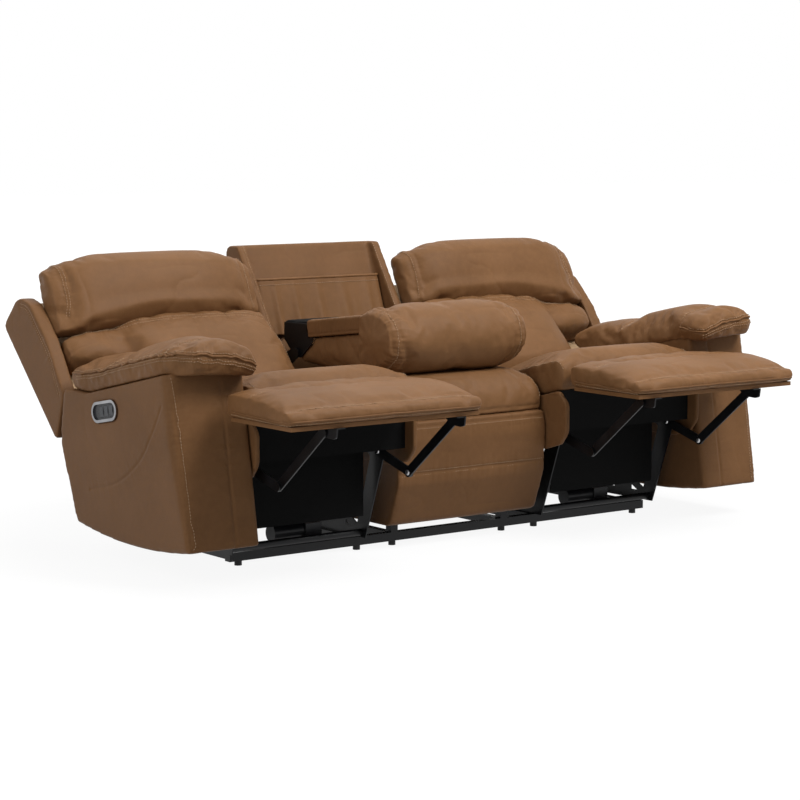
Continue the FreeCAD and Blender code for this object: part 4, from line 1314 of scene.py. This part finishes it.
@dataclass
class Middle:
    """The middle seat and its fixed back."""

    half: float = 282.0
    pocket_foot: float = 590.0
    pocket_tall: float = 174.0
    pocket_back: float = 955.0
    recess_lean: float = math.radians(21.4)
    shell_top: float = 872.0
    pleats: float = 6.0

    def box_seams(self) -> list[Seam]:
        """The upper line and the double line across the front."""
        lines = []
        for height, depth, kind in ((372.0, 60.0, SeamKind.TOPSTITCH), (232.0, 66.0, SeamKind.DOUBLE)):
            lines.append(Seam([(x, depth, height) for x in (-276, -180, 0, 180, 276)], kind, groove=2.2,
                              pucker=1.2))
        return lines

    def cushion_seams(self) -> list[Seam]:
        """The line along the foot of the cushion's nose and those beside both ends."""
        seams = [Seam([(x, 66, 402) for x in (-270, -150, 0, 150, 270)], SeamKind.CREASE, groove=2.5,
                      pucker=1.2)]
        for x in (-268, 268):
            seams.append(Seam([(x, 68, 430), (x, 92, 480), (x, 160, 503), (x, 330, 505), (x, 560, 498)],
                              SeamKind.TOPSTITCH, pucker=1.2))
        return seams

    def shell_seams(self) -> list[Seam]:
        """Piping lines of the wings."""
        seams = []
        for sign in (-1, 1):
            x = sign * (self.half - 4)
            seams.append(Seam([(x, 927, 866), (x, 894, 812), (x, 855, 748), (x, 815, 684), (x, 787, 640),
                               (x, 720, 532)],
                              SeamKind.CREASE, groove=1.4, spread=4.0, pucker=0.6))
            seams.append(Seam([(x - sign * 20, 932, 870), (x - sign * 20, 897, 813),
                               (x - sign * 20, 857, 749),
                               (x - sign * 20, 817, 685), (x - sign * 20, 775, 620)],
                              SeamKind.TOPSTITCH, groove=0.8, pucker=0.6, gap=3.0))
        return seams

    def pocket(self, bench: Bench) -> None:
        """The gathered pocket as one pleated sheet with a rolled hem.

        Args:
            bench: the frame and finishes.
        """
        low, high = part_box("storage_pocket")
        columns, rows = 160, 40
        x = np.linspace(low.x + 0.001, high.x - 0.001, columns)
        up = np.linspace(0.0, 1.0, rows)
        lean = math.tan(self.recess_lean)
        gx, gu = np.meshgrid(x, up)
        height = (self.pocket_foot + self.pocket_tall * gu) * MM
        base = (self.pocket_back + ARM_FRONT_MM) * MM - (self.shell_top * MM - height) * lean
        share = (gx - x[0]) / (x[-1] - x[0])
        edge = np.clip(np.minimum(share, 1 - share) / 0.04, 0, 1)
        belly = (0.022 + 0.010 * gu) * (0.35 + 0.65 * np.sqrt(edge))
        pleat = 0.5 + 0.5 * np.cos(2 * math.pi * (share * self.pleats + 0.25 * np.sin(5 * share)))
        belly += 0.011 * (pleat ** 3 - 0.35) * (0.25 + 0.75 * (1 - gu)) * edge
        crease = lattice_noise(np.stack((gx.ravel(), height.ravel(), gx.ravel() * 0), 1), (55, 9, 1), 4)
        belly += 0.003 * (crease.reshape(gx.shape) - 0.5) * (1.2 - gu)
        front = np.stack((gx, base - belly, height), axis=2).reshape(-1, 3)
        faces = [[r * columns + c, r * columns + c + 1, (r + 1) * columns + c + 1, (r + 1) * columns + c]
                 for r in range(rows - 1) for c in range(columns - 1)]
        obj = new_object("storage_pocket_dressed", mesh_of("storage_pocket", front, faces))
        thick = obj.modifiers.new("thick", "SOLIDIFY")
        thick.thickness, thick.offset = 0.003, 0.0
        settle(obj)
        subdivide(obj)
        smooth_shading(obj.data)
        bench.dress(obj, Finish.LEATHER, "frame")
        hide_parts("storage_pocket")
        top = front.reshape(rows, columns, 3)[-1]
        out = np.tile((0.0, -math.cos(math.atan(lean)), math.sin(math.atan(lean))), (columns, 1))
        hem = new_object("pocket_hem", mesh_of("pocket_hem", *tube(top, out, 0.0045, 10)))
        bench.dress(hem, Finish.LEATHER, "frame")
        row = front.reshape(rows, columns, 3)[-5] + out * 0.0018
        thread = new_object("pocket_thread", mesh_of("pocket_thread", *stitches(row, out)))
        bench.dress(thread, Finish.THREAD, "frame")

    def make(self, bench: Bench) -> None:
        """Build the middle seat and back."""
        Leather("middle_seat_box", "middle_seat_box", "frame", Finish.LEATHER_COVER, seams=self.box_seams(),
                creases=1.0, voxel=0.006, padded=None, seed=14).make(bench)
        Leather("middle_seat_cushion", "middle_seat_cushion", "frame", filling=Filling(cap=0.012, ease=0.02,
                inset=0.004, held=((0, 0, -1), (0, 1, 0))), seams=self.cushion_seams(), creases=1.6,
                padded=0.7,
                seed=15).make(bench)
        Leather("middle_back_shell", "middle_back_shell", "frame", Finish.LEATHER_COVER,
                seams=self.shell_seams(),
                creases=1.0, voxel=0.006, soften=3, padded=None, seed=16).make(bench)
        self.pocket(bench)


@dataclass
class Console:
    """The folded middle back: table, cups, cushion, bolster, cover and hinge."""

    half: float = 246.0
    roll: tuple[float, float] = (200.0, 618.0)
    pleats: int = 15
    tilt: float = math.radians(6.9)
    rear: float = 596.0
    top: float = 655.0

    def tilted(self, x: float, depth: float, height: float) -> Point:
        """A point of the level table, moved with its tilt."""
        y, z = depth - self.rear, height - self.top
        return (x, self.rear + y * math.cos(self.tilt) + z * math.sin(self.tilt),
                self.top - y * math.sin(self.tilt) + z * math.cos(self.tilt))

    def board_seams(self) -> list[Seam]:
        """Lines along the edge of the table."""
        h, t = self.half, self.top
        edge = [(-h + 3, 300, t - 3), (-h + 3, 450, t - 3), (-h + 3, 590, t - 3)]
        seams = []
        for sign in (-1, 1):
            seams.append(Seam([self.tilted(sign * x, d, z) for x, d, z in edge], SeamKind.CREASE, groove=1.2,
                              spread=4.0, pucker=0.8))
            seams.append(Seam([self.tilted(sign * (h - 12), d, t) for d in (300, 400, 500, 590)],
                              SeamKind.TOPSTITCH,
                              groove=1.0, pucker=0.8, gap=0.0))
            seams.append(Seam([self.tilted(sign * h, d, t - 46) for d in (300, 400, 500, 590)],
                              SeamKind.CREASE,
                              groove=1.6, spread=4.0, pucker=0.8))
        return seams

    def bolster_seams(self) -> list[Seam]:
        """The ring of each gathered end, run on towards the rear at its top and its foot."""
        seams = []
        for x in (-238.0, 238.0):
            ring = [(x, self.roll[0] + 92 * math.cos(a) * 1.02, self.roll[1] + 100 * math.sin(a)) for a in
                    np.linspace(0.5 * math.pi, 1.5 * math.pi, 9)]
            ring = [(x, 285, 712)] + ring + [(x, 285, 522)]
            seams.append(Seam(ring, SeamKind.TOPSTITCH, groove=3.0, spread=6.0, pucker=3.0, gap=5.0))
        return seams

    def gather(self, co: np.ndarray, out: np.ndarray) -> np.ndarray:
        """Radial pleats on both ends of the bolster.

        Args:
            co: points of the bolster.
            out: their normals.

        Returns:
            The moved points.
        """
        centre = at(0, *self.roll)
        angle = np.arctan2(co[:, 2] - centre[2], co[:, 1] - centre[1])
        end = np.clip((np.abs(out[:, 0]) - 0.35) / 0.5, 0, 1)
        wobble = lattice_noise(np.stack((np.cos(angle), np.sin(angle), np.sign(co[:, 0])), 1), (3, 3, 1), 9)
        depth = 0.002 * np.cos(self.pleats * angle + 7 * wobble) * end
        return co + out * depth[:, None]

    def make(self, bench: Bench) -> None:
        """Build the console."""
        Leather("console_board", "console_board", "console", Finish.LEATHER_COVER, seams=self.board_seams(),
                creases=0.8, voxel=0.004, soften=2, padded=None, seed=18).make(bench)
        Leather("console_cushion", "console_cushion", "console", filling=Filling(cap=0.014, inset=0.005,
                held=((0, 0, 1), (0, -1, 0))), seams=[], creases=2.2, padded=0.7, seed=19).make(bench)
        Leather("console_bolster", "console_bolster", "console",
                filling=Filling(cap=0.024, inset=0.007, ease=0.04,
                held=((0, 1, 0),)), seams=self.bolster_seams(), shape=self.gather, creases=2.2,
                crease_scale=(6, 9, 9), padded=0.9, seed=20).make(bench)
        bench.paint("cup_holders", Finish.CUP)
        Leather("console_cover", "console_cover", "console", Finish.DUST_CLOTH, creases=3.0,
                crease_scale=(7, 16, 16), voxel=0.005, soften=8, padded=None, seed=21).make(bench)
        for name in ("console_hinge_arms", "console_hinge_brackets"):
            bench.paint(name, Finish.STEEL)


@dataclass
class Steelwork:
    """Floor frame, mechanism, actuators, glides and the wooden frames."""

    rivet: float = 0.0085
    link: tuple[float, float] = (80.0, 310.0)
    elbow: tuple[float, float] = (-75.0, 265.0)
    board: tuple[float, float] = (-290.0, 440.0)

    def rivets(self, bench: Bench) -> None:
        """Domed rivet heads on the pivots of the links.

        Args:
            bench: the frame and finishes.
        """
        pivots = {"rear_link": (self.link, self.elbow), "front_link": (self.elbow, self.board)}
        faces = {"rear_link": (350.0, 806.0), "front_link": (356.0, 800.0)}
        for side in BOTH:
            for body, places in pivots.items():
                heads = Collector()
                for depth, height in places:
                    for x, sign in zip(faces[body], (1, -1)):
                        heads.add(*self.dome(at(side.value * x, depth, height), side.value * sign))
                obj = new_object(f"{side.name.lower()}_{body}_rivets", heads.mesh("rivets"))
                bench.dress(obj, Finish.PIN_STEEL, f"{side.name.lower()}_{body}")

    def dome(self, centre: np.ndarray, sign: float, height: float = 0.0035) -> tuple[np.ndarray, list]:
        """One rivet head that looks along the width.

        Args:
            centre: centre of its foot.
            sign: direction along the width.
            height: how far it stands out.

        Returns:
            Points and faces.
        """
        rings, sides = 5, 16
        verts = []
        for r in range(rings):
            angle = 0.5 * math.pi * r / (rings - 1)
            radius, lift = self.rivet * math.cos(angle) + 1e-5, height * math.sin(angle)
            for k in range(sides):
                a = 2 * math.pi * k / sides
                verts.append(centre + np.array((sign * lift, radius * math.cos(a), radius * math.sin(a))))
        faces = ring_faces(rings, sides)
        faces.append([(rings - 1) * sides + k for k in range(sides)])
        return np.array(verts), faces

    def make(self, bench: Bench) -> None:
        """Finish the steel and build its rivets."""
        for name in ("base_frame", "mechanism_frames", "frame_brackets"):
            bench.paint(name, Finish.STEEL)
        bench.paint("glide_feet", Finish.GLIDE)
        bench.paint("arm_frames", Finish.WOOD)
        bench.paint("actuators", Finish.MOTOR)
        self.rivets(bench)


@dataclass
class Studio:
    """Camera, lamps, backdrop and floor."""

    camera_at: tuple[float, float, float] = (-4.4265, -5.7852, 1.2719)
    heading: float = math.radians(36.8767)
    dip: float = math.radians(6.7255)
    lens: float = 106.53
    world: float = 0.26

    def camera(self) -> None:
        """Set up the camera at the photograph's place."""
        data = bpy.data.cameras.new("camera")
        data.lens, data.sensor_width, data.sensor_fit = self.lens, 36.0, "HORIZONTAL"
        data.clip_end = 100.0
        obj = bpy.data.objects.new("camera", data)
        bpy.context.scene.collection.objects.link(obj)
        obj.location = self.camera_at
        forward = Vector((math.sin(self.heading) * math.cos(self.dip),
                          math.cos(self.heading) * math.cos(self.dip), -math.sin(self.dip)))
        obj.rotation_mode = "QUATERNION"
        obj.rotation_quaternion = forward.to_track_quat("-Z", "Y")
        bpy.context.scene.camera = obj

    @staticmethod
    def lamp(name: str, place: Point, target: Point, size: float, power: float) -> None:
        """One square soft lamp.

        Args:
            name: its name.
            place: where it stands.
            target: what it looks at.
            size: its side in metres.
            power: its power in watts.
        """
        data = bpy.data.lights.new(name, "AREA")
        data.shape, data.size, data.energy = "SQUARE", size, power
        obj = bpy.data.objects.new(name, data)
        bpy.context.scene.collection.objects.link(obj)
        obj.location = place
        obj.rotation_mode = "QUATERNION"
        obj.rotation_quaternion = (Vector(target) - Vector(place)).to_track_quat("-Z", "Y")

    def backdrop(self) -> None:
        """White world and a white floor that keeps the shadow."""
        world = bpy.data.worlds.new("studio")
        bpy.context.scene.world = world
        world.use_nodes = True
        tree = world.node_tree
        tree.nodes.clear()
        rays = tree.nodes.new("ShaderNodeLightPath")
        seen = self.seen_rays(tree, rays)
        dim = tree.nodes.new("ShaderNodeBackground")
        dim.inputs["Color"].default_value = (1.0, 1.0, 1.0, 1.0)
        dim.inputs["Strength"].default_value = self.world
        white = tree.nodes.new("ShaderNodeBackground")
        white.inputs["Color"].default_value = (1.0, 1.0, 1.0, 1.0)
        white.inputs["Strength"].default_value = 1.0
        mix = tree.nodes.new("ShaderNodeMixShader")
        out = tree.nodes.new("ShaderNodeOutputWorld")
        tree.links.new(seen, mix.inputs[0])
        tree.links.new(dim.outputs[0], mix.inputs[1])
        tree.links.new(white.outputs[0], mix.inputs[2])
        tree.links.new(mix.outputs[0], out.inputs[0])
        floor = mesh_of("floor", np.array([(-30, -30, -0.0005), (30, -30, -0.0005), (30, 30, -0.0005),
                                           (-30, 30, -0.0005)]), [[0, 1, 2, 3]])
        obj = new_object("floor", floor)
        material = bpy.data.materials.new("floor_white")
        material.use_nodes = True
        tree = material.node_tree
        tree.nodes.clear()
        rays = tree.nodes.new("ShaderNodeLightPath")
        seen = self.seen_rays(tree, rays)
        diffuse = tree.nodes.new("ShaderNodeBsdfDiffuse")
        diffuse.inputs["Color"].default_value = (0.5, 0.5, 0.5, 1.0)
        glow = tree.nodes.new("ShaderNodeEmission")
        glow.inputs["Color"].default_value = (1.0, 1.0, 1.0, 1.0)
        glow.inputs["Strength"].default_value = 1.12
        coords = tree.nodes.new("ShaderNodeTexCoord")
        reach = tree.nodes.new("ShaderNodeVectorMath")
        reach.operation = "LENGTH"
        tree.links.new(coords.outputs["Object"], reach.inputs[0])
        fade = tree.nodes.new("ShaderNodeMapRange")
        for name, value in (("From Min", 1.2), ("From Max", 3.0), ("To Min", 0.82), ("To Max", 1.0)):
            fade.inputs[name].default_value = value
        tree.links.new(reach.outputs["Value"], fade.inputs["Value"])
        share = tree.nodes.new("ShaderNodeMath")
        share.operation = "MULTIPLY"
        mix = tree.nodes.new("ShaderNodeMixShader")
        out = tree.nodes.new("ShaderNodeOutputMaterial")
        tree.links.new(seen, share.inputs[0])
        tree.links.new(fade.outputs[0], share.inputs[1])
        tree.links.new(share.outputs[0], mix.inputs[0])
        tree.links.new(diffuse.outputs[0], mix.inputs[1])
        tree.links.new(glow.outputs[0], mix.inputs[2])
        tree.links.new(mix.outputs[0], out.inputs[0])
        floor.materials.append(material)

    @staticmethod
    def seen_rays(tree: bpy.types.NodeTree, rays: bpy.types.Node) -> bpy.types.NodeSocket:
        """One where a camera, glossy or transmission ray arrives."""
        first = tree.nodes.new("ShaderNodeMath")
        first.operation = "MAXIMUM"
        second = tree.nodes.new("ShaderNodeMath")
        second.operation = "MAXIMUM"
        tree.links.new(rays.outputs["Is Camera Ray"], first.inputs[0])
        tree.links.new(rays.outputs["Is Glossy Ray"], first.inputs[1])
        tree.links.new(first.outputs[0], second.inputs[0])
        tree.links.new(rays.outputs["Is Transmission Ray"], second.inputs[1])
        return second.outputs[0]

    def make(self) -> None:
        """Set up the studio."""
        bpy.context.scene.view_settings.view_transform = "Standard"
        self.camera()
        self.lamp("key", (1.3, -2.6, 4.1), (0.0, 0.0, 0.5), 2.2, 205.0)
        self.lamp("side", (-4.2, -0.8, 2.4), (-0.6, 0.0, 0.4), 2.4, 55.0)
        self.lamp("top", (0.2, 1.0, 4.2), (0.0, 0.1, 0.5), 3.0, 60.0)
        self.backdrop()


def main() -> None:
    """Build the dressed sofa."""
    logging.basicConfig(level=logging.INFO, format="%(message)s")
    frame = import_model()
    bench = Bench(frame, make_finishes(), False)
    Studio().make()
    for part in (Steelwork(), Arms(), Seats(), Backs(), Middle(), Console()):
        part.make(bench)
        LOG.info("%s done", type(part).__name__)
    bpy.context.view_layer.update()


if __name__ == "__main__":
    main()
